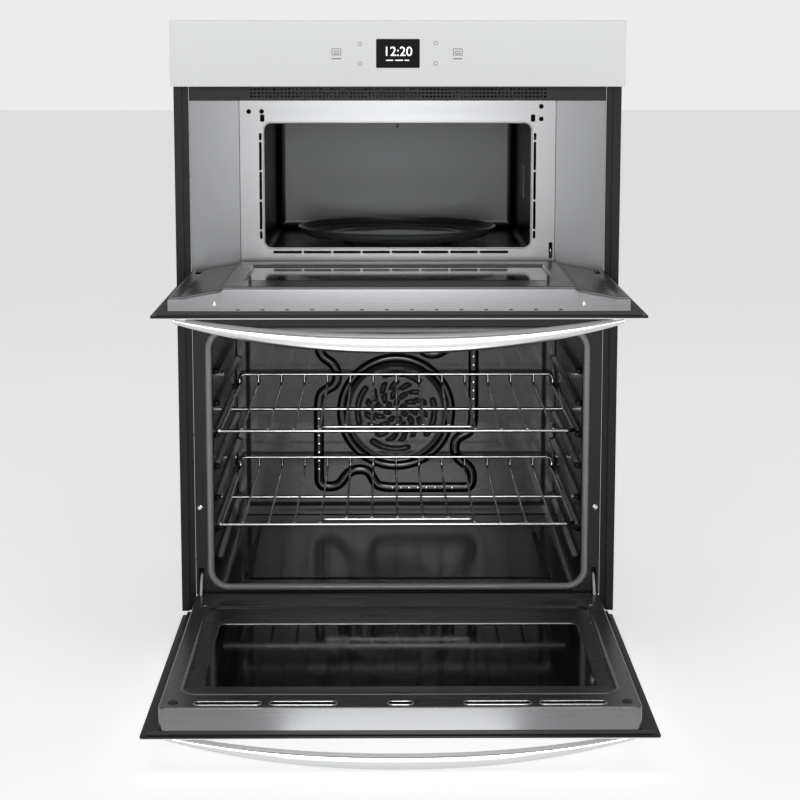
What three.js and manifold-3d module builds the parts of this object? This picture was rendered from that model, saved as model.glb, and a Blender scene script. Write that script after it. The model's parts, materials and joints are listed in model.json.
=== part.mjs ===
// A built-in double wall oven: a drop-door microwave above a convection oven, both doors open.
// Millimetres. +X is to the right as one faces the oven, +Y goes into the cabinet, +Z is up.
// Sizes below are measured from the front: depths from the outer face of the closed doors' glass,
// heights from the lowest edge of the front. The last lines move the whole to its mounting origin,
// the centre of the chassis underside.

import * as THREE from 'three';
import { mergeVertices } from 'three/addons/utils/BufferGeometryUtils.js';
import Module from 'manifold-3d';

const wasm = await Module();
wasm.setup();

// ---------------------------------------------------------------- driving sizes

// the whole oven
const frontWidth = 762;
const frontHeight = 1089;
const overallDepth = 679;
const chassisInset = 25; // each side of the front stands this far past the chassis
const chassisRise = 25; // chassis underside above the front's lowest edge
const chassisDrop = 19; // chassis top below the front's top edge
const sheet = 1.5; // sheet metal thickness
const joint = 0.3; // gap between pieces that touch

// the front, from the top down
const panelHeight = 110;
const frontGap = 4;
const microwaveDoorHeight = 366.4;
const doorFootGap = 10; // lower edge of the oven door above the front's lowest edge
const frameDepth = 51; // face of the front frame behind the door glass
const glassThickness = 5;

// hinges: depth behind the glass face, and height above the door's lower edge
const ovenHingeDepth = 10.4;
const ovenHingeRise = 44.4;
const ovenHingePin = 4.4;
const microwaveHingeDepth = 7.6;
const microwaveHingeRise = 31.6;
const microwaveHingePin = 2.2;
const hingeArmThickness = 4;
const hingeSlotSide = 3; // room in a slot on each side of a hinge arm
const doorOpenAngle = Math.PI / 2;

// doors
const ovenDoorClear = 2.5; // shut liner to the frame's face
const microwaveDoorClear = 1.6;
const doorFrameThickness = 6.4;
const doorFrameBorder = 54;
const linerInset = 2; // liner inside the chassis sides
const ovenLinerFootRise = 10.4; // liner's lower edge above the glass's lower edge
const microwaveLinerFootRise = 12.4;
const linerTopDrop = 5;
const ovenWindowBorder = 56; // liner sides beside the window
const ovenWindowFoot = 178;
const ovenWindowHead = 103;
const microwaveRaisedSide = 82; // sloping wing beside the raised centre of the liner
const microwaveWingFall = 15;
const microwaveWindowBorder = 140;
const microwaveWindowFoot = 84;
const microwaveWindowHead = 92;
const paneThickness = 4;
const paneOverlap = 14;

// handles
const handleLength = 704;
const handleReach = 58; // front of the bow from the glass, at its centre
const handleDepth = 25; // front to back of the bar at its centre
const handleEndReach = 20;
const handleEndDepth = 15;
const handleHeight = 16;
const handleDrop = 30; // bar centre below the door's top edge
const handleFootLength = 24;

// oven cavity
const cavitySide = 33; // chassis side to cavity
const cavityFootRise = 88; // cavity floor above the oven door's lower edge
const cavityHeadDrop = 44.6; // cavity roof below the oven door's upper edge
const cavityRearSpace = 55.5;
const cavityCorner = 15;
const cavityFlange = 15;
const gasketRadius = 6.5;
const gasketProud = 2.1; // gasket crown ahead of the frame
const gasketCorner = 33;
const mouthCorner = 40;
const fanBoxDepth = 44.5; // from the fan cover back to the cavity's rear wall
const insulationThickness = 15;
const bakeSpace = 15;

// racks and their guides
const guideLevels = 7;
const guideTopSpace = 76.9; // highest rack level below the cavity roof
const guideLowest = 44.3; // lowest rack level above the cavity floor
const guideHeight = 6;
const guideProud = 10;
const rackSideGap = 4;
const rackFrontGap = 43; // rack front behind the cavity's flange
const rackDepth = 455;
const rackWire = 2.6;
const rackRail = 3.4;
const rackWires = 13;
const rackWirePitch = 46.2;
const rackShortWires = 5; // centre wires that stop at the grab bar
const rackGrabSetback = 40;
const rackGrabWidth = 278;
const rackUpturn = 24;
const upperRackLevel = 4;
const lowerRackLevel = 1;

// microwave
const plateBorder = 41.7; // plate beside the opening
const plateRise = 51.4; // lower edge of the front plate above the microwave door's lower edge
const plateDrop = 20.3; // upper edge of the front plate below the door's upper edge
const microwaveOpeningWidth = 456.6;
const microwaveOpeningFoot = 42.7; // opening above the plate's lower edge
const microwaveOpeningHead = 38.4; // opening below the plate's upper edge
const microwaveOpeningCorner = 12;
const microwaveSide = 1.7; // cavity wall outside the opening
const microwaveFloorDrop = 8.7;
const microwaveDepth = 424;
const microwaveRoofRise = 1; // cavity roof above the opening
const latchBeside = 2.7; // middle of a latch hook outside the opening's side
const latchAbove = 8.7; // middle of a latch hook above the opening's top
const latchWidth = 4;
const latchHeight = 10;
const latchReach = 12;
const latchRoom = 1.5; // gap round a hook in its slot
const trayRadius = 180;
const trayDepth = 198; // tray centre behind the front plate
const trayRise = 12; // tray underside above the cavity floor
const trayRim = 17.6;
const trayGlass = 4;
const rollerRadius = 5;
const rollerCircle = 100;

// trims
const trimLip = 2;
const trimGroove = 9;
const trimForward = 5;
const trimAboveHinge = 4; // lower end of the trims above the oven door's hinge pins
const ventRows = 3;
const ventRowPitch = 6.2;
const ventRowHeight = 2.6;
const ventWidth = 505;

// works
const fanRadius = 78;
const fanBlades = 8;
const blowerRadius = 50;
const blowerBlades = 10;
const blowerX = 120;
const blowerY = 420;
const conduitRadius = 14;
const probeRadius = 3;
const lampRadius = 26;
const lockWidth = 30;
const plungerRadius = 4;
const plungerReach = 7.5; // plunger's tip ahead of the frame, out
const displayWidth = 73;
const displayHeight = 48;
const feedDepth = 270; // middle of the microwave feed behind the door glass
const feedRise = 110; // and above the cavity floor

// ---------------------------------------------------------------- places worked out from them

const frontHalf = frontWidth / 2;
const chassisHalf = frontHalf - chassisInset;
const chassisTop = frontHeight - chassisDrop;
const rear = overallDepth;
const sideInner = chassisHalf - sheet;

const panelFoot = frontHeight - panelHeight;
const microwaveTop = panelFoot - frontGap;
const microwaveFoot = microwaveTop - microwaveDoorHeight;
const ovenTop = microwaveFoot - frontGap;
const ovenFoot = doorFootGap;

const ovenHingeHeight = ovenFoot + ovenHingeRise;
const microwaveHingeHeight = microwaveFoot + microwaveHingeRise;
const frameBack = frameDepth + sheet;

const ovenDoorThickness = frameDepth - ovenDoorClear;
const microwaveDoorThickness = frameDepth - microwaveDoorClear;
const linerHalf = chassisHalf - linerInset;
const doorFrameBack = glassThickness + joint + doorFrameThickness;
const ovenLinerFoot = ovenFoot + ovenLinerFootRise;
const ovenLinerTop = ovenTop - linerTopDrop;
const microwaveLinerFoot = microwaveFoot + microwaveLinerFootRise;
const microwaveLinerTop = microwaveTop - linerTopDrop;

const cavityHalf = chassisHalf - cavitySide;
const cavityFloor = ovenFoot + cavityFootRise;
const cavityRoof = ovenTop - cavityHeadDrop;
const cavityRear = rear - cavityRearSpace;
const guidePitch = (cavityRoof - cavityFloor - guideLowest - guideTopSpace) / (guideLevels - 1);
const gasketHalf = cavityHalf + gasketRadius;
const gasketDepth = frameDepth - gasketProud + gasketRadius;
const gasketFoot = cavityFloor + 1.5;
const gasketHead = cavityRoof - 1.5;
const flangeDepth = gasketDepth + gasketRadius + joint;
const fanCoverDepth = cavityRear - fanBoxDepth;
const fanHeight = (cavityFloor + cavityRoof) / 2 - 16.5;
const ovenArmSide = chassisHalf - 10;
const frameFoot = ovenFoot + 77;
const frameHead = ovenTop + 10;

const plateFoot = microwaveFoot + plateRise;
const plateTop = microwaveTop - plateDrop;
const openingHalf = microwaveOpeningWidth / 2;
const plateHalf = openingHalf + plateBorder;
const openingFoot = plateFoot + microwaveOpeningFoot;
const openingTop = plateTop - microwaveOpeningHead;
const microwaveHalf = openingHalf + microwaveSide;
const microwaveFloor = openingFoot - microwaveFloorDrop;
const microwaveRoof = openingTop + microwaveRoofRise;
const microwaveFront = frameBack + joint;
const microwaveRear = microwaveFront + microwaveDepth;
const trayCentre = frameDepth + trayDepth;
const microwaveArmSide = chassisHalf - 18;
const railDepth = frameDepth + 7.5;
const latchSide = openingHalf + latchBeside;
const latchHigh = openingTop + latchAbove;

const conduitX = -chassisHalf + 60;
const conduitY = rear - 70;
const probeX = -cavityHalf + 60;
const probeZ = cavityRoof - 40;
const lampX = -cavityHalf + 90;
const lampY = fanCoverDepth - 110;
const lockHeight = ovenTop - 19.6;
const plungerX = -cavityHalf + 40;

const up = new THREE.Vector3(0, 0, 1);
const across = new THREE.Vector3(1, 0, 0);
const inward = new THREE.Vector3(0, 1, 0);

// ---------------------------------------------------------------- looks

const looks = {
  whiteGlass: { color: 0xf0f1f0, roughness: 0.12, metalness: 0 },
  smokedGlass: { color: 0x1b1c1e, roughness: 0.1, metalness: 0 },
  trayGlass: { color: 0x6f7678, roughness: 0.1, metalness: 0 },
  darkEnamel: { color: 0x2a2b2d, roughness: 0.3, metalness: 0.1 },
  greyPaint: { color: 0x8f9092, roughness: 0.45, metalness: 0.3 },
  brushedSteel: { color: 0xa9abad, roughness: 0.35, metalness: 1 },
  galvanised: { color: 0x9fa3a6, roughness: 0.55, metalness: 1 },
  blackTrim: { color: 0x1f2022, roughness: 0.5, metalness: 0.1 },
  blackPlastic: { color: 0x141416, roughness: 0.5, metalness: 0 },
  chrome: { color: 0xd4d6d8, roughness: 0.15, metalness: 1 },
  seal: { color: 0xb4b5b3, roughness: 0.9, metalness: 0 },
  wool: { color: 0xd8cfa8, roughness: 1, metalness: 0 },
  element: { color: 0x4a4644, roughness: 0.6, metalness: 0.6 },
  mica: { color: 0xc9c2ae, roughness: 0.7, metalness: 0 },
};

// ---------------------------------------------------------------- shaping

function box(left, right, front, back, bottom, top) {
  const geometry = new THREE.BoxGeometry(right - left, back - front, top - bottom);
  geometry.translate((left + right) / 2, (front + back) / 2, (bottom + top) / 2);
  return geometry;
}

function rectangle(left, right, bottom, top, radius = 0) {
  const shape = new THREE.Shape();
  if (radius === 0) {
    shape.moveTo(left, bottom).lineTo(right, bottom).lineTo(right, top).lineTo(left, top);
    shape.closePath();
    return shape;
  }
  shape.absarc(right - radius, bottom + radius, radius, -Math.PI / 2, 0);
  shape.absarc(right - radius, top - radius, radius, 0, Math.PI / 2);
  shape.absarc(left + radius, top - radius, radius, Math.PI / 2, Math.PI);
  shape.absarc(left + radius, bottom + radius, radius, Math.PI, Math.PI * 1.5);
  shape.closePath();
  return shape;
}

function circle(x, z, radius) {
  return new THREE.Shape().absarc(x, z, radius, 0, Math.PI * 2);
}

function polygon(points) {
  return new THREE.Shape(points.map(([u, v]) => new THREE.Vector2(u, v)));
}

function extrude(shape, depth, curveSegments) {
  return new THREE.ExtrudeGeometry(shape, { depth, bevelEnabled: false, curveSegments });
}

// a shape drawn in X and Z, made thick along +Y from a given depth
function upright(shape, front, thickness, curveSegments = 4) {
  const geometry = extrude(shape, thickness, curveSegments);
  geometry.rotateX(Math.PI / 2);
  geometry.translate(0, front + thickness, 0);
  return geometry;
}

// a shape drawn in X and Y, made thick along +Z from a given height
function flat(shape, bottom, thickness, curveSegments = 8) {
  const geometry = extrude(shape, thickness, curveSegments);
  geometry.translate(0, 0, bottom);
  return geometry;
}

// a shape drawn in Y and Z, made thick along +X from a given place
function sideways(shape, left, thickness, curveSegments = 6) {
  const geometry = extrude(shape, thickness, curveSegments);
  geometry.applyMatrix4(new THREE.Matrix4().makeBasis(inward, up, across));
  geometry.translate(left, 0, 0);
  return geometry;
}

function rod(start, end, radius, sides = 6) {
  const from = new THREE.Vector3(...start);
  const to = new THREE.Vector3(...end);
  const along = to.clone().sub(from);
  const geometry = new THREE.CylinderGeometry(radius, radius, along.length(), sides);
  const turn = new THREE.Quaternion().setFromUnitVectors(inward, along.clone().normalize());
  geometry.applyQuaternion(turn);
  geometry.translate(...from.add(to).multiplyScalar(0.5).toArray());
  return geometry;
}

function tubeAlong(points, radius, steps, sides = 6, closed = false) {
  const section = [];
  for (let i = 0; i < sides; i += 1) {
    const angle = (i / sides) * Math.PI * 2;
    section.push([radius * Math.cos(angle), radius * Math.sin(angle)]);
  }
  const vectors = points.map((p) => new THREE.Vector3(...p));
  const extrudePath = new THREE.CatmullRomCurve3(vectors, closed, 'catmullrom', 0.1);
  return new THREE.ExtrudeGeometry(polygon(section), { steps, extrudePath, bevelEnabled: false });
}

// a profile of [radius, height] points turned about the vertical through x, y
function turned(profile, x, y, segments = 24) {
  const points = profile.map(([r, z]) => new THREE.Vector2(r, z));
  const geometry = new THREE.LatheGeometry(points, segments);
  geometry.rotateX(Math.PI / 2);
  geometry.translate(x, y, 0);
  return geometry;
}

function toSolid(geometry) {
  const bare = geometry.clone();
  bare.deleteAttribute('normal');
  bare.deleteAttribute('uv');
  const merged = mergeVertices(bare, 1e-4);
  const vertProperties = new Float32Array(merged.attributes.position.array);
  const triVerts = new Uint32Array(merged.index.array);
  return new wasm.Manifold(new wasm.Mesh({ numProp: 3, vertProperties, triVerts }));
}

function toGeometry(solid) {
  const mesh = solid.getMesh();
  const geometry = new THREE.BufferGeometry();
  geometry.setAttribute('position', new THREE.BufferAttribute(mesh.vertProperties, 3));
  geometry.setIndex(new THREE.BufferAttribute(mesh.triVerts, 1));
  geometry.computeVertexNormals();
  return geometry;
}

function join(pieces) {
  return toGeometry(pieces.map(toSolid).reduce((whole, part) => whole.add(part)));
}

function cut(body, tools) {
  return toGeometry(tools.map(toSolid).reduce((left, tool) => left.subtract(tool), toSolid(body)));
}

function bothSides(make) {
  return [-1, 1].map(make);
}

// a box given by its distance from the middle, on the left (-1) or the right (1)
function sideBox(side, near, far, front, back, bottom, top) {
  const edges = [side * near, side * far].sort((a, b) => a - b);
  return box(...edges, front, back, bottom, top);
}

function piece(name, geometry, look) {
  const mesh = new THREE.Mesh(geometry, new THREE.MeshStandardMaterial(looks[look]));
  mesh.name = name;
  return mesh;
}

const sideName = (side) => (side < 0 ? 'left' : 'right');

// ---------------------------------------------------------------- chassis

function ventSlots(left, right, bottom, count, pitch, height) {
  const slots = [];
  for (let i = 0; i < count; i += 1) {
    const low = bottom + i * pitch;
    slots.push(rectangle(left, right, low, low + height));
  }
  return slots;
}

function makeChassis() {
  const wallFoot = chassisRise + sheet + joint;
  const wallTop = chassisTop - sheet - joint;
  const rearFace = rear - sheet;
  const apronDepth = frameDepth + 23;
  const rearEdge = rearFace - joint;
  const basePan = box(-chassisHalf, chassisHalf, apronDepth - 8, rearEdge, chassisRise, chassisRise + sheet);
  const cover = rectangle(-chassisHalf, chassisHalf, frameDepth, rearFace - joint);
  cover.holes.push(circle(conduitX, conduitY, conduitRadius + 0.5));
  const topCover = flat(cover, chassisTop - sheet, sheet);
  const back = rectangle(-chassisHalf, chassisHalf, chassisRise, chassisTop);
  back.holes.push(...ventSlots(-120, 120, chassisTop - 90, 5, 14, 6));
  const apron = rectangle(-chassisHalf, chassisHalf, wallFoot, frameFoot - 1);
  apron.holes.push(...ventSlots(-280, 280, wallFoot + 12, 3, 14, 5));
  const parts = [
    piece('base_pan', basePan, 'galvanised'),
    piece('top_cover', topCover, 'galvanised'),
    piece('rear_cover', upright(back, rearFace, sheet), 'galvanised'),
    piece('lower_vent_apron', upright(apron, apronDepth, sheet), 'blackTrim'),
  ];
  for (const side of [-1, 1]) {
    const wallFront = frameBack + trimLip + joint;
    const wall = sideBox(side, sideInner, chassisHalf, wallFront, rearFace - joint, wallFoot, wallTop);
    const apronBack = apronDepth + sheet + joint;
    const clearOfApron = sideBox(side, sideInner - 1, chassisHalf + 1, wallFront - 1, apronBack, wallFoot - 1,
      frameFoot);
    parts.push(piece(`side_panel_${sideName(side)}`, cut(wall, [clearOfApron]), 'galvanised'));
  }
  return parts;
}

// ---------------------------------------------------------------- front frame, plates and trims

function makeOvenFrame() {
  const half = chassisHalf - joint;
  const clear = gasketRadius + 0.5;
  const face = rectangle(-half, half, frameFoot, frameHead);
  const mouthHalf = gasketHalf + clear;
  face.holes.push(rectangle(-mouthHalf, mouthHalf, gasketFoot - clear, gasketHead + clear, mouthCorner));
  const inside = sideInner - joint;
  const shelf = box(-inside, inside, frameDepth, railDepth + sheet, frameHead - sheet, frameHead);
  const rail = box(-inside, inside, railDepth, railDepth + sheet, frameHead - sheet, plateFoot + 12);
  const body = join([upright(face, frameDepth, sheet, 6), shelf, rail]);
  const slots = [];
  const reach = hingeArmThickness / 2 + hingeSlotSide;
  for (const side of [-1, 1]) {
    slots.push(sideBox(side, ovenArmSide - reach, ovenArmSide + reach, frameDepth - 1, frameBack + 1,
      frameFoot - 1, cavityFloor + 37));
    slots.push(sideBox(side, microwaveArmSide - reach, microwaveArmSide + reach, railDepth - 1,
      railDepth + sheet + 1, microwaveHingeHeight - 6, plateFoot + 13));
  }
  const front = frameDepth - 1;
  const back = frameBack + 1;
  slots.push(box(-lockWidth / 2 - 3, lockWidth / 2 + 3, front, back, lockHeight - 5, lockHeight + 5));
  slots.push(rod([plungerX, front, lockHeight], [plungerX, back, lockHeight], plungerRadius + 0.5, 12));
  return piece('oven_front_frame', cut(body, slots), 'darkEnamel');
}

function latchBoxes(front, back, room) {
  const halfWidth = latchWidth / 2 + room;
  const halfHeight = latchHeight / 2 + room;
  return bothSides((side) => sideBox(side, latchSide - halfWidth, latchSide + halfWidth, front, back,
    latchHigh - halfHeight, latchHigh + halfHeight));
}

function makeMicrowavePlate() {
  const face = rectangle(-plateHalf, plateHalf, plateFoot, plateTop);
  face.holes.push(rectangle(-openingHalf, openingHalf, openingFoot, openingTop, microwaveOpeningCorner));
  const slots = latchBoxes(frameDepth - 1, frameBack + 1, latchRoom);
  return piece('microwave_front_plate', cut(upright(face, frameDepth, sheet), slots), 'brushedSteel');
}

function makeFillers() {
  return bothSides((side) => piece(
    `filler_panel_${sideName(side)}`,
    sideBox(side, plateHalf + joint, chassisHalf - joint, frameDepth, frameBack, plateFoot, plateTop),
    'brushedSteel',
  ));
}

function makeVentStrip() {
  const foot = plateTop + joint;
  const face = rectangle(-chassisHalf + joint, chassisHalf - joint, foot, panelFoot - joint);
  const half = ventWidth / 2;
  face.holes.push(...ventSlots(-half, half, foot + 5, ventRows, ventRowPitch, ventRowHeight));
  return piece('vent_strip', upright(face, frameDepth, sheet), 'blackTrim');
}

function makeSideTrims() {
  const inner = chassisHalf + joint;
  const lip = inner + trimLip;
  const groove = lip + trimGroove;
  const deep = frameBack + joint;
  const outline = [
    [inner, frameDepth - trimForward + 1], [lip, frameDepth - trimForward + 1],
    [lip, frameDepth], [groove, frameDepth],
    [groove, frameDepth - trimForward], [frontHalf, frameDepth - trimForward],
    [frontHalf, frameDepth - trimForward + trimLip], [groove + trimLip, frameDepth - trimForward + trimLip],
    [groove + trimLip, deep], [inner, deep],
  ];
  return bothSides((side) => {
    const points = outline.map(([x, y]) => [side * x, y]);
    const shape = polygon(side < 0 ? points.reverse() : points);
    const foot = ovenHingeHeight + trimAboveHinge;
    const bar = flat(shape, foot, panelFoot - joint - foot);
    return piece(`side_trim_${sideName(side)}`, bar, 'blackTrim');
  });
}

// ---------------------------------------------------------------- control panel

function makeControlPanel() {
  const boxHalf = chassisHalf - 4;
  const boxFoot = panelFoot + 5;
  const boxTop = frontHeight - 5;
  const boxBack = frameDepth - joint;
  const front = glassThickness + joint;
  const glass = upright(rectangle(-frontHalf, frontHalf, panelFoot, frontHeight, 2), 0, glassThickness, 2);
  const shell = cut(box(-boxHalf, boxHalf, front, boxBack, boxFoot, boxTop), [
    box(-boxHalf + 2, boxHalf - 2, front - 1, boxBack - 2, boxFoot + 2, boxTop - 2),
  ]);
  const middle = (boxFoot + boxTop) / 2;
  const display = box(-displayWidth / 2, displayWidth / 2, front, front + 9, middle - displayHeight / 2,
    middle + displayHeight / 2);
  return [
    piece('control_panel_glass', glass, 'whiteGlass'),
    piece('control_panel_housing', shell, 'blackPlastic'),
    piece('display_module', display, 'smokedGlass'),
  ];
}

// ---------------------------------------------------------------- oven cavity

function guideHeightAt(level) {
  return cavityFloor + guideLowest + level * guidePitch;
}

function makeOvenCavity() {
  const outerHalf = cavityHalf + sheet;
  const outerFoot = cavityFloor - sheet;
  const outerHead = cavityRoof + sheet;
  const shellOuter = rectangle(-outerHalf, outerHalf, outerFoot, outerHead, cavityCorner + sheet);
  const shellInner = rectangle(-cavityHalf, cavityHalf, cavityFloor, cavityRoof, cavityCorner);
  const length = cavityRear + sheet - flangeDepth;
  const flangeHalf = cavityHalf + cavityFlange;
  const flange = rectangle(-flangeHalf, flangeHalf, cavityFloor - 11, cavityRoof + 11, cavityCorner + 10);
  const body = join([upright(shellOuter, flangeDepth, length, 3), upright(flange, flangeDepth, sheet, 3)]);
  const drillBack = (x, z, radius) => rod([x, cavityRear - 1, z], [x, cavityRear + sheet + 1, z], radius, 12);
  const fanHole = drillBack(0, fanHeight, 9);
  const probeHole = drillBack(probeX, probeZ, probeRadius + 1);
  const lampHole = rod([lampX, lampY, cavityRoof - 2], [lampX, lampY, outerHead + 2], lampRadius + 1, 16);
  const hollow = cut(body, [
    upright(shellInner, flangeDepth - 1, cavityRear - flangeDepth + 1, 3), fanHole, probeHole, lampHole,
  ]);
  const guides = [];
  for (let level = 0; level < guideLevels; level += 1) {
    const top = guideHeightAt(level) - rackRail - joint;
    for (const side of [-1, 1]) {
      guides.push(sideBox(side, cavityHalf - guideProud, cavityHalf + sheet / 2, flangeDepth + 26,
        fanCoverDepth - 6, top - guideHeight, top));
    }
  }
  return piece('oven_cavity', join([hollow, ...guides]), 'darkEnamel');
}

function makeFanCover() {
  const half = cavityHalf - 0.5;
  const face = rectangle(-half, half, cavityFloor + 0.5, cavityRoof - 0.5, cavityCorner);
  const front = fanCoverDepth - 1;
  const back = fanCoverDepth + sheet + 1;
  const drill = (x, z, radius, sides) => rod([x, front, z], [x, back, z], radius, sides);
  const holes = [drill(probeX, probeZ, probeRadius + 1, 8)];
  for (let i = 0; i < 10; i += 1) {
    const angle = (i / 10) * Math.PI * 2;
    holes.push(drill(45 * Math.cos(angle), fanHeight + 45 * Math.sin(angle), 9, 10));
  }
  for (const side of [-1, 1]) {
    for (let i = 0; i < 4; i += 1) {
      const low = fanHeight - 130 + i * 70;
      holes.push(sideBox(side, 194, 206, front, back, low, low + 50));
    }
  }
  return piece('oven_fan_cover', cut(upright(face, fanCoverDepth, sheet), holes), 'darkEnamel');
}

function makeGasket() {
  const ring = (grow) => rectangle(-gasketHalf - grow, gasketHalf + grow, gasketFoot - grow, gasketHead + grow,
    gasketCorner + grow);
  const outer = ring(gasketRadius);
  outer.holes.push(ring(-gasketRadius));
  const body = upright(outer, gasketDepth - gasketRadius, gasketRadius * 2, 6);
  return piece('oven_gasket', body, 'seal');
}

function makeInsulation() {
  const gap = sheet + joint + 0.2;
  const foot = cavityFloor - bakeSpace;
  const grow = gap + insulationThickness;
  const outer = rectangle(-cavityHalf - grow, cavityHalf + grow, foot - grow, cavityRoof + grow);
  outer.holes.push(rectangle(-cavityHalf - gap, cavityHalf + gap, foot - gap, cavityRoof + gap));
  const blanket = upright(outer, flangeDepth + 18, cavityRear - flangeDepth - 18);
  const top = cavityRoof + grow + 2;
  const lampHole = rod([lampX, lampY, cavityRoof], [lampX, lampY, top], lampRadius + 3, 16);
  return piece('insulation_blanket', cut(blanket, [lampHole]), 'wool');
}

function makeHeaters() {
  const wire = 4;
  const high = cavityRoof - 26;
  const low = cavityFloor - bakeSpace / 2 - sheet;
  const behind = fanCoverDepth - 8;
  const ahead = flangeDepth + 60;
  const broilPath = [];
  const runs = 6;
  const spread = cavityHalf - 70;
  for (let i = 0; i < runs; i += 1) {
    const x = -spread + (i / (runs - 1)) * spread * 2;
    const ends = i % 2 === 0 ? [behind - 40, ahead] : [ahead, behind - 40];
    broilPath.push([x, i === 0 ? behind : ends[0], high], [x, i === runs - 1 ? behind : ends[1], high]);
  }
  const bakeX = cavityHalf - 50;
  const bakePath = [
    [-60, cavityRear - 20, low], [-60, 160, low], [-bakeX, 160, low], [-bakeX, cavityRear - 80, low],
    [-120, cavityRear - 80, low], [-120, 240, low],
  ];
  const ring = new THREE.TorusGeometry(fanRadius + 26, wire, 6, 24);
  ring.rotateX(Math.PI / 2);
  ring.translate(0, (fanCoverDepth + cavityRear) / 2, fanHeight);
  return [
    piece('broil_element', tubeAlong(broilPath, wire, 60), 'element'),
    piece('bake_element', tubeAlong(bakePath, wire, 30), 'element'),
    piece('convection_element', ring, 'element'),
  ];
}

function makeFanAndMotor() {
  const front = fanCoverDepth + sheet + 8;
  const back = front + 22;
  const hub = rod([0, front, fanHeight], [0, back, fanHeight], 16, 16);
  const disc = rod([0, back - 2, fanHeight], [0, back, fanHeight], fanRadius, 24);
  const blades = [];
  for (let i = 0; i < fanBlades; i += 1) {
    const blade = box(12, fanRadius - 1, front, back - 1, -1, 1);
    blade.rotateY((i / fanBlades) * Math.PI * 2);
    blade.translate(0, 0, fanHeight);
    blades.push(blade);
  }
  const shaft = rod([0, back + joint, fanHeight], [0, cavityRear + 10, fanHeight], 5, 12);
  const can = rod([0, cavityRear + sheet + 4, fanHeight], [0, rear - sheet - 6, fanHeight], 36, 20);
  return {
    fan: piece('convection_fan', join([hub, disc, ...blades]), 'galvanised'),
    motor: piece('fan_motor', join([shaft, can]), 'galvanised'),
  };
}

function makeOvenFittings() {
  const probe = rod([probeX, fanCoverDepth - 60, probeZ], [probeX, rear - 30, probeZ], probeRadius, 8);
  const probeHead = rod([probeX, cavityRear + sheet + joint, probeZ], [probeX, rear - 30, probeZ], 8, 8);
  const lens = rod([lampX, lampY, cavityRoof - 5], [lampX, lampY, cavityRoof + 12], lampRadius, 16);
  const rim = rod([lampX, lampY, cavityRoof - 7], [lampX, lampY, cavityRoof - joint], lampRadius + 6, 16);
  const socket = rod([lampX, lampY, cavityRoof + 10], [lampX, lampY, cavityRoof + 38], 14, 12);
  return [
    piece('temperature_probe', join([probe, probeHead]), 'chrome'),
    piece('oven_lamp', join([lens, rim, socket]), 'trayGlass'),
  ];
}

function makeRack(name, level) {
  const z = guideHeightAt(level);
  const half = cavityHalf - rackSideGap - rackRail;
  const front = flangeDepth + rackFrontGap + rackRail;
  const back = front + rackDepth - 2 * rackRail;
  const across2 = (y, height, radius, reach = half) => rod([-reach, y, height], [reach, y, height], radius);
  const wires = [
    across2(front, z, rackRail), across2(back, z, rackWire), across2((front + back) / 2, z, rackRail),
    across2(back, z + rackUpturn, rackRail, half - 6),
    across2(front + rackGrabSetback, z, rackWire, rackGrabWidth / 2),
  ];
  for (const side of [-1, 1]) {
    wires.push(rod([side * half, front - rackRail, z], [side * half, back, z], rackRail));
    wires.push(rod([side * (half - 6), back, z], [side * (half - 6), back, z + rackUpturn + 2], rackWire));
  }
  const middleWire = (rackWires - 1) / 2;
  for (let i = 0; i < rackWires; i += 1) {
    const x = (i - middleWire) * rackWirePitch;
    if (Math.abs(x) < half - rackRail) {
      const short = Math.abs(i - middleWire) <= (rackShortWires - 1) / 2;
      const start = short ? front + rackGrabSetback : front;
      wires.push(rod([x, start, z], [x, back, z], rackWire, 5));
    }
  }
  return piece(name, join(wires), 'chrome');
}

// ---------------------------------------------------------------- microwave cavity and works

function makeMicrowaveCavity() {
  const grow = sheet;
  const outer = box(-microwaveHalf - grow, microwaveHalf + grow, microwaveFront, microwaveRear + grow,
    microwaveFloor - grow, microwaveRoof + grow);
  const inner = box(-microwaveHalf, microwaveHalf, microwaveFront - 1, microwaveRear, microwaveFloor,
    microwaveRoof);
  const under = microwaveFloor - grow - 1;
  const shaftHole = rod([0, trayCentre, under], [0, trayCentre, microwaveFloor + 1], 8, 12);
  const feed = box(microwaveHalf - 1, microwaveHalf + grow + 1, feedDepth - 30, feedDepth + 30,
    microwaveFloor + feedRise - 20, microwaveFloor + feedRise + 20);
  return piece('microwave_cavity', cut(outer, [inner, shaftHole, feed]), 'brushedSteel');
}

function makeMicrowaveWorks() {
  const wall = microwaveHalf + sheet + joint;
  const room = sideInner - wall;
  const high = microwaveFloor + feedRise;
  const cover = box(microwaveHalf - 1.5, microwaveHalf - joint, feedDepth - 45, feedDepth + 45, high - 30,
    high + 30);
  const guide = box(wall, wall + room * 0.26, feedDepth - 45, feedDepth + 45, high - 26, high + 26);
  const tube = rod([wall + room * 0.24, feedDepth, high], [wall + room * 0.64, feedDepth, high], 26, 16);
  const fins = [];
  for (let i = 0; i < 4; i += 1) {
    const x = wall + room * (0.33 + i * 0.073);
    fins.push(box(x, x + 2, feedDepth - 35, feedDepth + 35, high - 36, high + 36));
  }
  const supply = box(wall + 4, wall + room * 0.78, feedDepth + 90, feedDepth + 200, microwaveFloor + 4,
    microwaveFloor + 80);
  const motorTop = microwaveFloor - sheet - joint;
  const motor = rod([0, trayCentre, microwaveFloor - 26], [0, trayCentre, motorTop], 26, 16);
  return [
    piece('waveguide_cover', cover, 'mica'),
    piece('magnetron', join([guide, tube, ...fins]), 'galvanised'),
    piece('power_supply', supply, 'blackPlastic'),
    piece('turntable_motor', motor, 'galvanised'),
  ];
}

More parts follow.
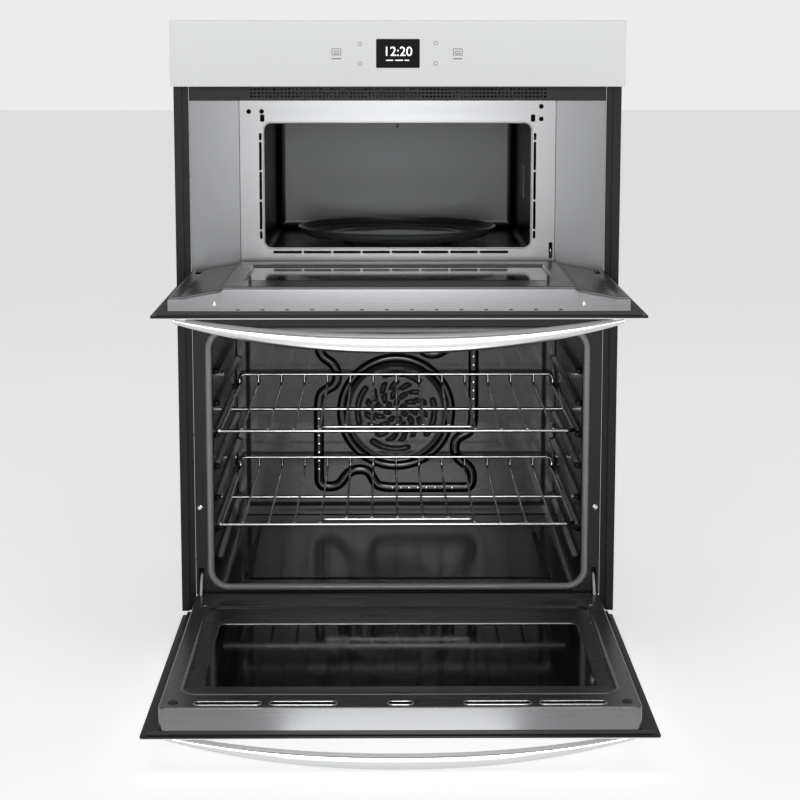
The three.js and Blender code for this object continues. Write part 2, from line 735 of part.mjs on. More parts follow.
function makeTurntable() {
  const under = microwaveFloor + trayRise;
  const top = under + trayRim;
  const foot = trayRadius - 25;
  const glass = turned([
    [0, under], [foot, under], [trayRadius, top - trayGlass], [trayRadius, top],
    [trayRadius - 5, top], [foot - 3, under + trayGlass], [0, under + trayGlass],
  ], 0, trayCentre, 36);
  const hub = rod([0, trayCentre, microwaveFloor + joint], [0, trayCentre, under - joint], 13, 12);
  const spindle = rod([0, trayCentre, microwaveFloor - sheet], [0, trayCentre, microwaveFloor + 1], 6, 12);
  const ringLow = microwaveFloor + rollerRadius - 2 + joint;
  const hoop = turned([
    [rollerCircle - 12, ringLow], [rollerCircle - 4, ringLow],
    [rollerCircle - 4, ringLow + 4], [rollerCircle - 12, ringLow + 4], [rollerCircle - 12, ringLow],
  ], 0, trayCentre, 24);
  const rollers = [];
  for (let i = 0; i < 3; i += 1) {
    const angle = (i / 3) * Math.PI * 2 + Math.PI / 2;
    const height = microwaveFloor + rollerRadius + joint;
    const at = (r) => [r * Math.cos(angle), trayCentre + r * Math.sin(angle), height];
    rollers.push(rod(at(rollerCircle - 6), at(rollerCircle + 8), rollerRadius, 12));
  }
  return {
    tray: piece('turntable_tray', glass, 'trayGlass'),
    coupler: piece('turntable_coupler', join([hub, spindle]), 'blackPlastic'),
    ring: piece('roller_ring', join([hoop, ...rollers]), 'blackPlastic'),
  };
}

// ---------------------------------------------------------------- cooling blower, conduit box, lock, plunger

function makeBlower() {
  const low = microwaveRoof + sheet + 6;
  const top = low + 44;
  const outer = join([
    rod([blowerX, blowerY, low], [blowerX, blowerY, top], blowerRadius + 14, 24),
    box(blowerX - blowerRadius - 14, blowerX - 6, blowerY, blowerY + 130, low, top),
  ]);
  const shell = cut(outer, [
    rod([blowerX, blowerY, low + 2], [blowerX, blowerY, top - 2], blowerRadius + 12, 24),
    box(blowerX - blowerRadius - 12, blowerX - 8, blowerY, blowerY + 131, low + 2, top - 2),
    rod([blowerX, blowerY, top - 3], [blowerX, blowerY, top + 1], blowerRadius - 12, 20),
  ]);
  const wheelLow = low + 6;
  const wheelTop = top - 6;
  const disc = rod([blowerX, blowerY, wheelLow], [blowerX, blowerY, wheelLow + 3], blowerRadius, 24);
  const hub = rod([blowerX, blowerY, wheelLow], [blowerX, blowerY, wheelTop], 10, 12);
  const blades = [];
  for (let i = 0; i < blowerBlades; i += 1) {
    const blade = box(blowerRadius - 16, blowerRadius - 1, -1, 1, wheelLow + 1, wheelTop);
    blade.rotateZ((i / blowerBlades) * Math.PI * 2);
    blade.translate(blowerX, blowerY, 0);
    blades.push(blade);
  }
  return {
    housing: piece('blower_housing', shell, 'galvanised'),
    wheel: piece('blower_wheel', join([disc, hub, ...blades]), 'blackPlastic'),
  };
}

function makeConduitBox() {
  const top = chassisTop - sheet - joint;
  const body = box(conduitX - 38, conduitX + 38, conduitY - 38, conduitY + 38, top - 56, top);
  const collar = rod([conduitX, conduitY, top - 4], [conduitX, conduitY, chassisTop + 13], conduitRadius, 16);
  const shell = cut(join([body, collar]), [
    box(conduitX - 36, conduitX + 36, conduitY - 36, conduitY + 36, top - 54, top - 2),
    rod([conduitX, conduitY, top - 6], [conduitX, conduitY, chassisTop + 14], conduitRadius - 3, 16),
  ]);
  return piece('conduit_box', shell, 'galvanised');
}

function makeLockAndPlunger() {
  const half = lockWidth / 2;
  const hook = box(-half, half, frameDepth + joint, frameDepth + 26, lockHeight - 2, lockHeight + 2);
  const pin = (front, back, radius) => rod([plungerX, frameDepth + front, lockHeight],
    [plungerX, frameDepth + back, lockHeight], radius, 12);
  const tip = pin(-plungerReach, 18, plungerRadius);
  const collar = pin(8, 11, plungerRadius + 3);
  return {
    lock: piece('oven_door_lock', hook, 'brushedSteel'),
    plunger: piece('door_light_plunger', join([tip, collar]), 'blackPlastic'),
  };
}

// ---------------------------------------------------------------- hinges

// an arm fixed to the chassis that carries a door's hinge pin, drawn in depth and height
function hingeArm(name, side, place, pinDepth, pinHeight, pinRadius, outline) {
  const left = side * place - hingeArmThickness / 2;
  const eye = new THREE.Shape().absarc(pinDepth, pinHeight, pinRadius, 0, Math.PI * 2);
  const arm = sideways(polygon(outline), left, hingeArmThickness);
  const boss = sideways(eye, left - 1.5, hingeArmThickness + 3);
  return piece(name, join([arm, boss]), 'galvanised');
}

function makeHingeArms() {
  const parts = [];
  for (const side of [-1, 1]) {
    const d = ovenHingeDepth;
    const h = ovenHingeHeight;
    parts.push(hingeArm(`oven_hinge_arm_${sideName(side)}`, side, ovenArmSide, d, h, ovenHingePin, [
      [d - 2, h + 1], [d + 4, h - 2], [frameBack + 8, h + 36], [frameBack + 48, h + 36],
      [frameBack + 48, h + 70], [frameBack + 4, h + 70], [frameDepth - 8, h + 58],
    ]));
    const md = microwaveHingeDepth;
    const mh = microwaveHingeHeight;
    const low = [[md - 1, mh + 1], [md + 2, mh - 1], [railDepth + 6, mh], [railDepth + 40, mh]];
    const high = [
      [railDepth + 40, mh + 28], [railDepth + 4, mh + 28], [railDepth - 4, mh + 14], [md + 20, mh + 10],
    ];
    parts.push(hingeArm(`microwave_hinge_arm_${sideName(side)}`, side, microwaveArmSide, md, mh,
      microwaveHingePin, [...low, ...high]));
  }
  return parts;
}

// ---------------------------------------------------------------- doors, drawn shut

function bow(x, centre, end) {
  const share = (2 * x) / handleLength;
  return centre + (end - centre) * share * share;
}

// a bar bowed forwards from the door, its ends close to the glass
function handleBar(height) {
  const steps = 14;
  const outer = [];
  const inner = [];
  for (let i = 0; i <= steps; i += 1) {
    const x = -handleLength / 2 + (i / steps) * handleLength;
    outer.push([x, -bow(x, handleReach, handleEndReach)]);
    inner.push([x, -bow(x, handleReach - handleDepth, handleEndReach - handleEndDepth)]);
  }
  return flat(polygon([...outer, ...inner.reverse()]), height - handleHeight / 2, handleHeight);
}

function makeHandle(prefix, doorTop) {
  const height = doorTop - handleDrop;
  const end = handleLength / 2;
  const footReach = handleEndReach - handleEndDepth - joint;
  const feet = bothSides((side) => piece(
    `${prefix}_handle_foot_${sideName(side)}`,
    sideBox(side, end - handleFootLength, end - 2, -footReach, -joint, height - handleHeight / 2 + 2,
      height + handleHeight / 2 - 2),
    'chrome',
  ));
  return [piece(`${prefix}_door_handle`, handleBar(height), 'chrome'), ...feet];
}

function armSlots(place, hingeHeight, foot, back, tall) {
  const reach = hingeArmThickness / 2 + hingeSlotSide;
  return bothSides((side) => sideBox(side, place - reach, place + reach, glassThickness, back, foot - 2,
    hingeHeight + tall));
}

function makeDoorFrame(name, foot, top, slots) {
  const half = frontHalf - 9;
  const front = glassThickness + joint;
  const outline = rectangle(-half, half, foot + 4, top - 4);
  outline.holes.push(rectangle(-half + doorFrameBorder, half - doorFrameBorder, foot + doorFrameBorder,
    top - doorFrameBorder));
  return piece(name, cut(upright(outline, front, doorFrameThickness), slots), 'blackPlastic');
}

function makeOvenDoor() {
  const glass = upright(rectangle(-frontHalf, frontHalf, ovenFoot, ovenTop, 4), 0, glassThickness, 2);
  const slots = armSlots(ovenArmSide, ovenHingeHeight, ovenFoot, ovenDoorThickness + 1, 90);
  const front = doorFrameBack + joint;
  const back = ovenDoorThickness;
  const windowHalf = linerHalf - ovenWindowBorder;
  const windowFoot = ovenFoot + ovenWindowFoot;
  const windowTop = ovenTop - ovenWindowHead;
  const pan = box(-linerHalf, linerHalf, front, back, ovenLinerFoot, ovenLinerTop);
  const hollow = box(-linerHalf + sheet, linerHalf - sheet, front - 1, back - sheet, ovenLinerFoot + sheet,
    ovenLinerTop - sheet);
  const pierceFront = back - sheet - 1;
  const opening = rectangle(-windowHalf, windowHalf, windowFoot, windowTop, 12);
  const window = upright(opening, pierceFront, sheet + 2);
  const lockHalf = lockWidth / 2 + 4;
  const lockSlot = box(-lockHalf, lockHalf, pierceFront, back + 1, lockHeight - 6, lockHeight + 6);
  const outlets = [-250, -142, 142, 250].map((x) => box(x - 48, x + 48, pierceFront, back + 1, lockHeight - 4,
    lockHeight + 6));
  const liner = cut(pan, [hollow, window, lockSlot, ...outlets, ...slots]);
  const paneBack = back - sheet - joint;
  const pane = box(-windowHalf - paneOverlap, windowHalf + paneOverlap, paneBack - paneThickness, paneBack,
    windowFoot - paneOverlap, windowTop + paneOverlap);
  return [
    piece('oven_door_glass', glass, 'whiteGlass'),
    makeDoorFrame('oven_door_frame', ovenFoot, ovenTop, slots),
    piece('oven_door_liner', liner, 'brushedSteel'),
    piece('oven_door_inner_glass', pane, 'smokedGlass'),
    ...makeHandle('oven', ovenTop),
  ];
}

function linerSection(shrink) {
  const half = linerHalf - shrink;
  const raised = linerHalf - microwaveRaisedSide - shrink * 0.1;
  const front = doorFrameBack + joint - (shrink ? 1 : 0);
  const back = microwaveDoorThickness - shrink;
  const wing = back - microwaveWingFall;
  return polygon([
    [-half, front], [half, front], [half, wing], [raised, back], [-raised, back], [-half, wing],
  ]);
}

function makeMicrowaveDoor() {
  const outline = rectangle(-frontHalf, frontHalf, microwaveFoot, microwaveTop, 4);
  const glass = upright(outline, 0, glassThickness, 2);
  const back = microwaveDoorThickness;
  const slots = armSlots(microwaveArmSide, microwaveHingeHeight, microwaveFoot, back + 1, 40);
  const windowHalf = linerHalf - microwaveWindowBorder;
  const windowFoot = microwaveFoot + microwaveWindowFoot;
  const windowTop = microwaveTop - microwaveWindowHead;
  const tall = microwaveLinerTop - microwaveLinerFoot;
  const hooks = latchBoxes(back - 1, back + latchReach, 0);
  const pierceFront = back - sheet - 1;
  const pan = cut(flat(linerSection(0), microwaveLinerFoot, tall), [
    flat(linerSection(sheet), microwaveLinerFoot + sheet, tall - 2 * sheet),
    upright(rectangle(-windowHalf, windowHalf, windowFoot, windowTop, 10), pierceFront, sheet + 2),
    ...slots,
  ]);
  const paneBack = back - sheet - joint;
  const screen = box(-windowHalf - paneOverlap, windowHalf + paneOverlap, paneBack - paneThickness, paneBack,
    windowFoot - paneOverlap, windowTop + paneOverlap);
  return [
    piece('microwave_door_glass', glass, 'whiteGlass'),
    makeDoorFrame('microwave_door_frame', microwaveFoot, microwaveTop, slots),
    piece('microwave_door_liner', join([pan, ...hooks]), 'brushedSteel'),
    piece('microwave_door_screen', screen, 'smokedGlass'),
    ...makeHandle('microwave', microwaveTop),
  ];
}

// swings a shut door's pieces down about its hinge
function swung(parts, depth, height) {
  const shut = new THREE.Group();
  shut.position.set(0, -depth, -height);
  shut.add(...parts);
  const door = new THREE.Group();
  door.position.set(0, depth, height);
  door.rotation.x = doorOpenAngle;
  door.add(shut);
  return door;
}

// ---------------------------------------------------------------- the whole oven

const convection = makeFanAndMotor();
const turntable = makeTurntable();
const blower = makeBlower();
const lockAndPlunger = makeLockAndPlunger();

const oven = new THREE.Group();
oven.add(
  ...makeChassis(),
  makeOvenFrame(),
  makeMicrowavePlate(),
  ...makeFillers(),
  makeVentStrip(),
  ...makeSideTrims(),
  ...makeControlPanel(),
  makeOvenCavity(),
  makeFanCover(),
  makeGasket(),
  makeInsulation(),
  ...makeHeaters(),
  convection.fan,
  convection.motor,
  ...makeOvenFittings(),
  makeRack('upper_rack', upperRackLevel),
  makeRack('lower_rack', lowerRackLevel),
  makeMicrowaveCavity(),
  ...makeMicrowaveWorks(),
  turntable.tray,
  turntable.coupler,
  turntable.ring,
  blower.housing,
  blower.wheel,
  makeConduitBox(),
  lockAndPlunger.lock,
  lockAndPlunger.plunger,
  ...makeHingeArms(),
  swung(makeOvenDoor(), ovenHingeDepth, ovenHingeHeight),
  swung(makeMicrowaveDoor(), microwaveHingeDepth, microwaveHingeHeight),
);

// the origin is the centre of the chassis underside
const baseFront = frameDepth + 15;
oven.position.set(0, -(baseFront + rear) / 2, -chassisRise);

const group = new THREE.Group();
group.add(oven);
export default group;
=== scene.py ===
"""The looks of a built-in combination wall oven: a drop-door microwave above a convection oven, doors open.

Lengths in this script are millimetres from the front: x to the right of the middle, depth behind the front
glass, and height above the front's lowest edge. placed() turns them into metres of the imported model's frame.
"""

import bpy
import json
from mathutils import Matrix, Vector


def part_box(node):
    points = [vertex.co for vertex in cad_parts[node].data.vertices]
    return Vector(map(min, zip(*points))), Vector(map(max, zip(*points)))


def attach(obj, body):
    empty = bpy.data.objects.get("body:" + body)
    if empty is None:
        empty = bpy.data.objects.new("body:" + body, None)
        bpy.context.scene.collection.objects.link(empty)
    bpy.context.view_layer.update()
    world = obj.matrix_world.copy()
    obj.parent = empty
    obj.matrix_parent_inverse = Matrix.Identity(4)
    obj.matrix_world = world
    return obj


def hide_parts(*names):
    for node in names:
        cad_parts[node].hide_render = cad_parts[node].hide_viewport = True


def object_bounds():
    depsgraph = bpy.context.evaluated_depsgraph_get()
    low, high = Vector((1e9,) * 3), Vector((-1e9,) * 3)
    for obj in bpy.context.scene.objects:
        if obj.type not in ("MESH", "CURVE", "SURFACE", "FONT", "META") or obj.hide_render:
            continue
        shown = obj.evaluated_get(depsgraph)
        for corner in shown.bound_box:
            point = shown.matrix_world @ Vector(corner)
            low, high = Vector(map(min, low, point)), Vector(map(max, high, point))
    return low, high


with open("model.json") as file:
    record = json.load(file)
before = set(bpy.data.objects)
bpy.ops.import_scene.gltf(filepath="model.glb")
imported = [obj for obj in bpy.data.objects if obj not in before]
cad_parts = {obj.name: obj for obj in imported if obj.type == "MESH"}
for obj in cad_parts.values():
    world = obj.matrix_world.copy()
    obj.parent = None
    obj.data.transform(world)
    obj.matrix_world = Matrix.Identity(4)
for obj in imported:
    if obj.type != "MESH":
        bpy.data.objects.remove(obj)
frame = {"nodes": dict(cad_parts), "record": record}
import json
import math

import bmesh
import bpy
import numpy as np
from mathutils import Vector

cad_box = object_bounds()

MM = 0.001
CHASSIS_RISE = 25  # chassis underside above the front's lowest edge
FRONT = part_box("control_panel_glass")[0].y
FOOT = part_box("base_pan")[0].z - CHASSIS_RISE * MM


def spans(node):
    """Left, right, front, back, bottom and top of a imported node, in this script's millimetres."""
    low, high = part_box(node)
    return (
        low.x / MM,
        high.x / MM,
        (low.y - FRONT) / MM,
        (high.y - FRONT) / MM,
        (low.z - FOOT) / MM,
        (high.z - FOOT) / MM,
    )


# --- finishes ---------------------------------------------------------------------------------------------

SPECK_COLOUR = (0.62, 0.64, 0.68)

def finish(
    name,
    colour,
    metallic=0.0,
    roughness=0.4,
    shade=0.08,
    grain=(60, 60, 60),
    spread=0.06,
    bump=0.15,
    bump_depth=0.0002,
    specks=0.0,
    speck_size=900,
    coat=0.0,
    transmission=0.0,
    emission=0.0,
    specular=0.5,
    wear=0.0,
):
    """A procedural finish: noise in the piece's own grain shades the colour, varies the roughness and lifts
    the surface a little; specks adds small pale points, as in enamel, and wear pales the outer edges."""
    material = bpy.data.materials.new(name)
    material.use_nodes = True
    nodes, links = material.node_tree.nodes, material.node_tree.links
    shader = nodes["Principled BSDF"]
    shader.inputs["Metallic"].default_value = metallic
    shader.inputs["Coat Weight"].default_value = coat
    shader.inputs["Coat Roughness"].default_value = 0.05
    shader.inputs["Transmission Weight"].default_value = transmission
    shader.inputs["Specular IOR Level"].default_value = specular
    shader.inputs["Emission Strength"].default_value = emission
    shader.inputs["Emission Color"].default_value = (*colour, 1)
    coordinates = nodes.new("ShaderNodeTexCoord")
    mapping = nodes.new("ShaderNodeMapping")
    mapping.inputs["Scale"].default_value = grain
    links.new(coordinates.outputs["Object"], mapping.inputs["Vector"])
    noise = nodes.new("ShaderNodeTexNoise")
    noise.inputs["Scale"].default_value = 1.0
    noise.inputs["Detail"].default_value = 5.0
    links.new(mapping.outputs["Vector"], noise.inputs["Vector"])
    tint = nodes.new("ShaderNodeValToRGB")
    tint.color_ramp.elements[0].position = 0.3
    tint.color_ramp.elements[1].position = 0.7
    tint.color_ramp.elements[0].color = (*(c * (1 - shade) for c in colour), 1)
    tint.color_ramp.elements[1].color = (*(min(1, c * (1 + shade)) for c in colour), 1)
    links.new(noise.outputs["Fac"], tint.inputs["Fac"])
    shown_colour = tint.outputs["Color"]

    def blend(under, reading, start, end, strength, over):
        """The under colour, covered by over where the reading has passed from start to end."""
        share = nodes.new("ShaderNodeMapRange")
        share.inputs["From Min"].default_value = start
        share.inputs["From Max"].default_value = end
        share.inputs["To Max"].default_value = strength
        links.new(reading, share.inputs["Value"])
        mix = nodes.new("ShaderNodeMix")
        mix.data_type = "RGBA"
        mix.inputs["B"].default_value = (*over, 1)
        links.new(share.outputs["Result"], mix.inputs["Factor"])
        links.new(under, mix.inputs["A"])
        return mix.outputs["Result"]

    if specks:
        cells = nodes.new("ShaderNodeTexVoronoi")
        cells.inputs["Scale"].default_value = speck_size
        links.new(coordinates.outputs["Object"], cells.inputs["Vector"])
        shown_colour = blend(shown_colour, cells.outputs["Distance"], 0.16, 0.08, specks, SPECK_COLOUR)
    if wear:
        relief = nodes.new("ShaderNodeNewGeometry")
        rubbed = [min(1, c * 1.5 + 0.05) for c in colour]
        shown_colour = blend(shown_colour, relief.outputs["Pointiness"], 0.51, 0.60, wear, rubbed)
    links.new(shown_colour, shader.inputs["Base Color"])
    rough = nodes.new("ShaderNodeMapRange")
    rough.inputs["To Min"].default_value = max(0.02, roughness - spread)
    rough.inputs["To Max"].default_value = roughness + spread
    links.new(noise.outputs["Fac"], rough.inputs["Value"])
    links.new(rough.outputs["Result"], shader.inputs["Roughness"])
    lift = nodes.new("ShaderNodeBump")
    lift.inputs["Strength"].default_value = bump
    lift.inputs["Distance"].default_value = bump_depth
    links.new(noise.outputs["Fac"], lift.inputs["Height"])
    links.new(lift.outputs["Normal"], shader.inputs["Normal"])
    return material


# Each finish: name, colour, metallic, roughness, shade, grain along x, y and z, spread of roughness, bump.
white_glass = finish("back_painted_white_glass", (0.74, 0.745, 0.742), 0, 0.40, 0.01, (9, 9, 9), 0.03, 0.01,
                     specular=0.3)
panel_ink = finish("grey_printed_ink", (0.10, 0.10, 0.105), 0, 0.5, 0.1, (300, 300, 300), 0.08)
display_glass = finish("black_display_glass", (0.002, 0.002, 0.0022), 0, 0.3, 0.3, (40, 40, 40), 0.03, 0.02,
                       specular=0.04)
lit_digit = finish("lit_digit", (0.95, 0.97, 1.0), 0, 0.4, 0.03, (500, 500, 500), 0.05, 0.0, emission=0.9)
brushed_across = finish("satin_steel_grain_across", (0.20, 0.202, 0.205), 1, 0.30, 0.03, (5, 420, 420),
                        0.03, 0.03, wear=0.3)
brushed_up = finish("satin_steel_grain_up", (0.165, 0.167, 0.17), 1, 0.32, 0.03, (420, 420, 5), 0.03, 0.03,
                    wear=0.3)
liner_steel = finish("door_liner_steel", (0.165, 0.167, 0.17), 0.92, 0.28, 0.03, (5, 300, 300), 0.03, 0.02,
                     wear=0.5)
cavity_steel = finish("microwave_cavity_steel", (0.055, 0.056, 0.057), 1, 0.34, 0.05, (300, 6, 300), 0.04,
                      0.03, wear=0.2)
dark_enamel = finish("speckled_dark_enamel", (0.007, 0.0072, 0.008), 0, 0.18, 0.25, (50, 50, 50), 0.04, 0.05,
                     specks=0.2, speck_size=420, specular=0.35, wear=0.08)
wall_enamel = finish("speckled_grey_enamel", (0.034, 0.0345, 0.036), 0, 0.22, 0.2, (50, 50, 50), 0.05, 0.05,
                     specks=0.22, speck_size=420, coat=0.3, wear=0.1)
# The beads are pressed in the back wall; their near-black colour, darker than the wall's enamel, is painted
# shade and painted dark reflection.
bead_painted_shade_enamel = finish("bead_enamel_painted_shade", (0.0035, 0.0035, 0.004), 0, 0.16, 0.3, (60, 60, 60), 0.05, 0.05,
                     specks=0.08, speck_size=420, coat=0.3)
frame_enamel = finish("dark_front_enamel", (0.007, 0.007, 0.0075), 0, 0.30, 0.2, (80, 80, 80), 0.06, 0.05,
                      specks=0.08, speck_size=520, specular=0.3)
black_paint = finish("satin_black_paint", (0.010, 0.010, 0.0105), 0, 0.42, 0.2, (350, 350, 350), 0.08, 0.12,
                     specular=0.3)
trim_paint = finish("dark_grey_trim_paint", (0.006, 0.006, 0.0063), 0, 0.38, 0.15, (350, 350, 350), 0.08,
                    0.12, specular=0.25)
black_glass = finish("black_window_glass", (0.003, 0.0032, 0.0036), 0, 0.07, 0.3, (25, 25, 25), 0.03, 0.01)
black_backing = finish("black_glass_border", (0.004, 0.004, 0.0045), 0, 0.32, 0.3, (60, 60, 60), 0.05, 0.05,
                       specular=0.25)
bright_chrome = finish("bright_chrome_wire", (0.62, 0.625, 0.63), 1, 0.16, 0.06, (220, 220, 220), 0.05, 0.05)
handle_metal = finish("satin_handle_metal", (0.66, 0.665, 0.67), 1, 0.20, 0.02, (4, 300, 300), 0.04, 0.02)
zinc = finish("zinc_coated_sheet", (0.36, 0.37, 0.375), 0.85, 0.40, 0.05, (22, 22, 22), 0.06, 0.03, wear=0.35)
black_plastic = finish("moulded_black_plastic", (0.012, 0.012, 0.0125), 0, 0.5, 0.2, (900, 900, 900), 0.08,
                       0.3)
clear_glass = finish("clear_pressed_glass", (0.62, 0.64, 0.64), 0, 0.06, 0.03, (30, 30, 30), 0.03, 0.05,
                     transmission=0.94)
woven_glass = finish("braided_glass_fibre", (0.20, 0.20, 0.198), 0, 0.45, 0.3, (900, 900, 900), 0.1, 0.6,
                     0.0003, coat=0.4)
wool = finish("mineral_wool_mat", (0.55, 0.48, 0.27), 0, 0.9, 0.35, (160, 160, 160), 0.05, 1.0, 0.002)
heater = finish("oxidised_heater_sheath", (0.055, 0.05, 0.046), 0.6, 0.5, 0.3, (200, 200, 200), 0.1, 0.3)
mica = finish("pressed_mica", (0.30, 0.28, 0.24), 0, 0.45, 0.2, (90, 90, 400), 0.1, 0.3)
# painted shade: a flat black that stands in for the dark seen through openings
painted_shade_black = finish("open_slot_painted_shade", (0.004, 0.004, 0.004), 0, 0.7, 0.3, (200, 200, 200), 0.1, 0.2,
                    specular=0.1)
floor_paint = finish("pale_studio_floor", (0.86, 0.86, 0.86), 0, 0.8, 0.01, (3, 3, 3), 0.05, 0.02,
                     emission=0.50, specular=0.1)

SLOT_FINISH = {
    "white_glass": white_glass,
    "smoked_glass": black_glass,
    "tray_glass": clear_glass,
    "dark_enamel": dark_enamel,
    "plated_steel": brushed_across,
    "galvanised_steel": zinc,
    "black_trim": black_paint,
    "black_plastic": black_plastic,
    "bright_chrome": bright_chrome,
    "handle_metal": handle_metal,
    "woven_seal": woven_glass,
    "mineral_wool": wool,
    "heater_steel": heater,
    "mica_sheet": mica,
}
for part in frame["record"]["subparts"]:
    cad_node = frame["nodes"][part["node"]]
    cad_node.data.materials.clear()
    cad_node.data.materials.append(SLOT_FINISH[part["material_slot"]])
for trim_name in ("side_trim_left", "side_trim_right"):
    frame["nodes"][trim_name].data.materials[0] = trim_paint
frame["nodes"]["oven_front_frame"].data.materials[0] = frame_enamel


# --- shapes -----------------------------------------------------------------------------------------------


def placed(points):
    """Millimetres (x, depth, height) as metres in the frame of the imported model."""
    return np.asarray(points, float).reshape(-1, 3) * MM + np.array([0, FRONT, FOOT])


def quads(rows, columns, wrap_rows=False, wrap_columns=False):
    """Four-cornered faces between neighbours of a grid numbered row by row."""
    row = np.arange(rows if wrap_rows else rows - 1)[:, None]
    column = np.arange(columns if wrap_columns else columns - 1)[None, :]
    next_row, next_column = (row + 1) % rows, (column + 1) % columns
    corners = (row * columns + column, row * columns + next_column,
               next_row * columns + next_column, next_row * columns + column)
    return np.stack(np.broadcast_arrays(*corners), -1).reshape(-1, 4).tolist()


def rounded(left, right, low, high, radius, side=4, corner=6):
    """Points round a rectangle with quarter circles for corners; side - 1 points lie inside each straight."""
    quarter = np.linspace(0, math.pi / 2, corner + 1)
    corners = ((right, low, -1, 1), (right, high, -1, -1), (left, high, 1, -1), (left, low, 1, 1))
    arcs = []
    for number, (x, y, to_x, to_y) in enumerate(corners):
        turn = quarter + (number - 1) * math.pi / 2
        arcs.append(np.c_[x + radius * (to_x + np.cos(turn)), y + radius * (to_y + np.sin(turn))])
    share = np.linspace(0, 1, side + 1)[1:-1, None]
    straights = [a[-1] + (b[0] - a[-1]) * share for a, b in zip(arcs, arcs[1:] + arcs[:1])]
    return np.concatenate([part for pair in zip(arcs, straights) for part in pair])


def circle(x, y, radius, sides=24):
    """Points round a circle."""
    turn = np.arange(sides) * 2 * math.pi / sides
    return np.c_[x + radius * np.cos(turn), y + radius * np.sin(turn)]


def loft(rings, caps=(True, True), wrap=False):
    """A skin over rings of equally many points, closed round each ring; caps close the first and the last."""
    rings = np.asarray(rings, float)
    rows, columns = rings.shape[:2]
    faces = quads(rows, columns, wrap, True)
    if caps[0] and not wrap:
        faces.append(list(range(columns))[::-1])
    if caps[1] and not wrap:
        faces.append(list(range((rows - 1) * columns, rows * columns)))
    return rings.reshape(-1, 3), faces


def upright(outline, depth):
    """An outline of (x, height) points at one depth."""
    return np.c_[outline[:, 0], np.full(len(outline), depth), outline[:, 1]]


def lying(outline, height):
    """An outline of (x, depth) points at one height."""
    return np.c_[outline, np.full(len(outline), height)]


def slab(stand, left, right, low, high, start, end, corner=2.0, edge=1.0, side=4, turns=6):
    """A sheet with rounded corners and edges: its outline shrinks by a quarter circle towards both faces."""
    lean = np.linspace(0, math.pi / 2, 4)
    inset = edge * (1 - np.sin(lean))
    travel = edge * (1 - np.cos(lean))
    steps = [(i, start + t) for i, t in zip(inset, travel)]
    steps += [(i, end - t) for i, t in zip(inset[::-1], travel[::-1])]
    return loft([
        stand(rounded(left + i, right - i, low + i, high - i, max(corner - i, 0.05), side, turns), at)
        for i, at in steps
    ])


def sweep(path, section, up=(0, 0, 1), wrap=False, caps=True):
    """A closed section of (sideways, upward) points carried square along a path; up leans its second axis.
    section may be one outline or one outline for each point of the path."""
    path = np.asarray(path, float)
    ahead = np.roll(path, -1, 0) - np.roll(path, 1, 0) if wrap else np.gradient(path, axis=0)
    ahead /= np.linalg.norm(ahead, axis=1)[:, None]
    side = np.cross(ahead, np.asarray(up, float))
    side /= np.linalg.norm(side, axis=1)[:, None]
    above = np.cross(side, ahead)
    section = np.broadcast_to(section, (len(path), *np.shape(section)[-2:]))
    rings = path[:, None] + side[:, None] * section[..., :1] + above[:, None] * section[..., 1:]
    return loft(rings, (caps, caps), wrap)


def bent(points, radius, steps=5):
    """A path through points whose inner corners are rounded by quadratic curves of about this radius."""
    points = np.asarray(points, float)
    path = [points[:1]]
    t = np.linspace(0, 1, steps + 1)[:, None]
    for before, corner, after in zip(points[:-2], points[1:-1], points[2:]):
        into, out = before - corner, after - corner
        reach = min(radius, 0.49 * np.linalg.norm(into), 0.49 * np.linalg.norm(out))
        a = corner + into / np.linalg.norm(into) * reach
        b = corner + out / np.linalg.norm(out) * reach
        path.append((1 - t) ** 2 * a + 2 * t * (1 - t) * corner + t**2 * b)
    path.append(points[-1:])
    return np.concatenate(path)


def wire(points, radius, bend=0.0, sides=10, up=(0.31, 0.17, 0.94)):
    """A round wire through points, its corners rounded by bend."""
    path = bent(points, bend) if bend else np.asarray(points, float)
    return sweep(path, circle(0, 0, radius, sides), up)


def turned(profile, x, depth, height, axis="z", sides=48):
    """A profile of (radius, along) points turned about an axis that is upright (z), runs into the oven (y) or
    runs to the right (x)."""
    profile = np.asarray(profile, float)
    turn = np.arange(sides) * 2 * math.pi / sides
    radius, along = profile[:, :1], profile[:, 1:] + 0 * turn
    around, across = radius * np.cos(turn), radius * np.sin(turn)
    if axis == "z":
        rings = np.stack([x + around, depth + across, height + along], -1)
    elif axis == "y":
        rings = np.stack([x + around, depth + along, height + across], -1)
    else:
        rings = np.stack([x + along, depth + around, height + across], -1)
    return loft(rings, (profile[0, 0] > 0, profile[-1, 0] > 0))


def smooth_step(value, start, end):
    """0 before start, 1 after end, and an even S between."""
    share = np.clip((value - start) / (end - start), 0, 1)
    return share * share * (3 - 2 * share)


def recess(across, along, left, right, low, high, corner, slope=3.0):
    """1 inside a rectangle with rounded corners, 0 outside, and an even S over its sloping edge."""
    u = abs(across - (left + right) / 2) - (right - left) / 2 + corner
    v = abs(along - (low + high) / 2) - (high - low) / 2 + corner
    outside = np.hypot(np.maximum(u, 0), np.maximum(v, 0)) + np.minimum(np.maximum(u, v), 0)
    return smooth_step(corner - outside, -slope, slope)


def ruled(start, end, step, edges):
    """Positions from start to end, at most a step apart and close together about each edge."""
    even = np.linspace(start, end, int((end - start) / step) + 2)
    close = np.add.outer(np.asarray(edges, float), np.arange(-6, 7, 2.0)).ravel()
    return np.unique(np.round(np.r_[even, close[(close > start) & (close < end)]], 3))


def grid_skin(points, opened=None):
    """A skin over a grid of points; opened marks the grid's cells that are cut away."""
    faces = np.array(quads(*points.shape[:2]))
    if opened is not None:
        faces = faces[~opened.ravel()]
    return points.reshape(-1, 3), faces.tolist()


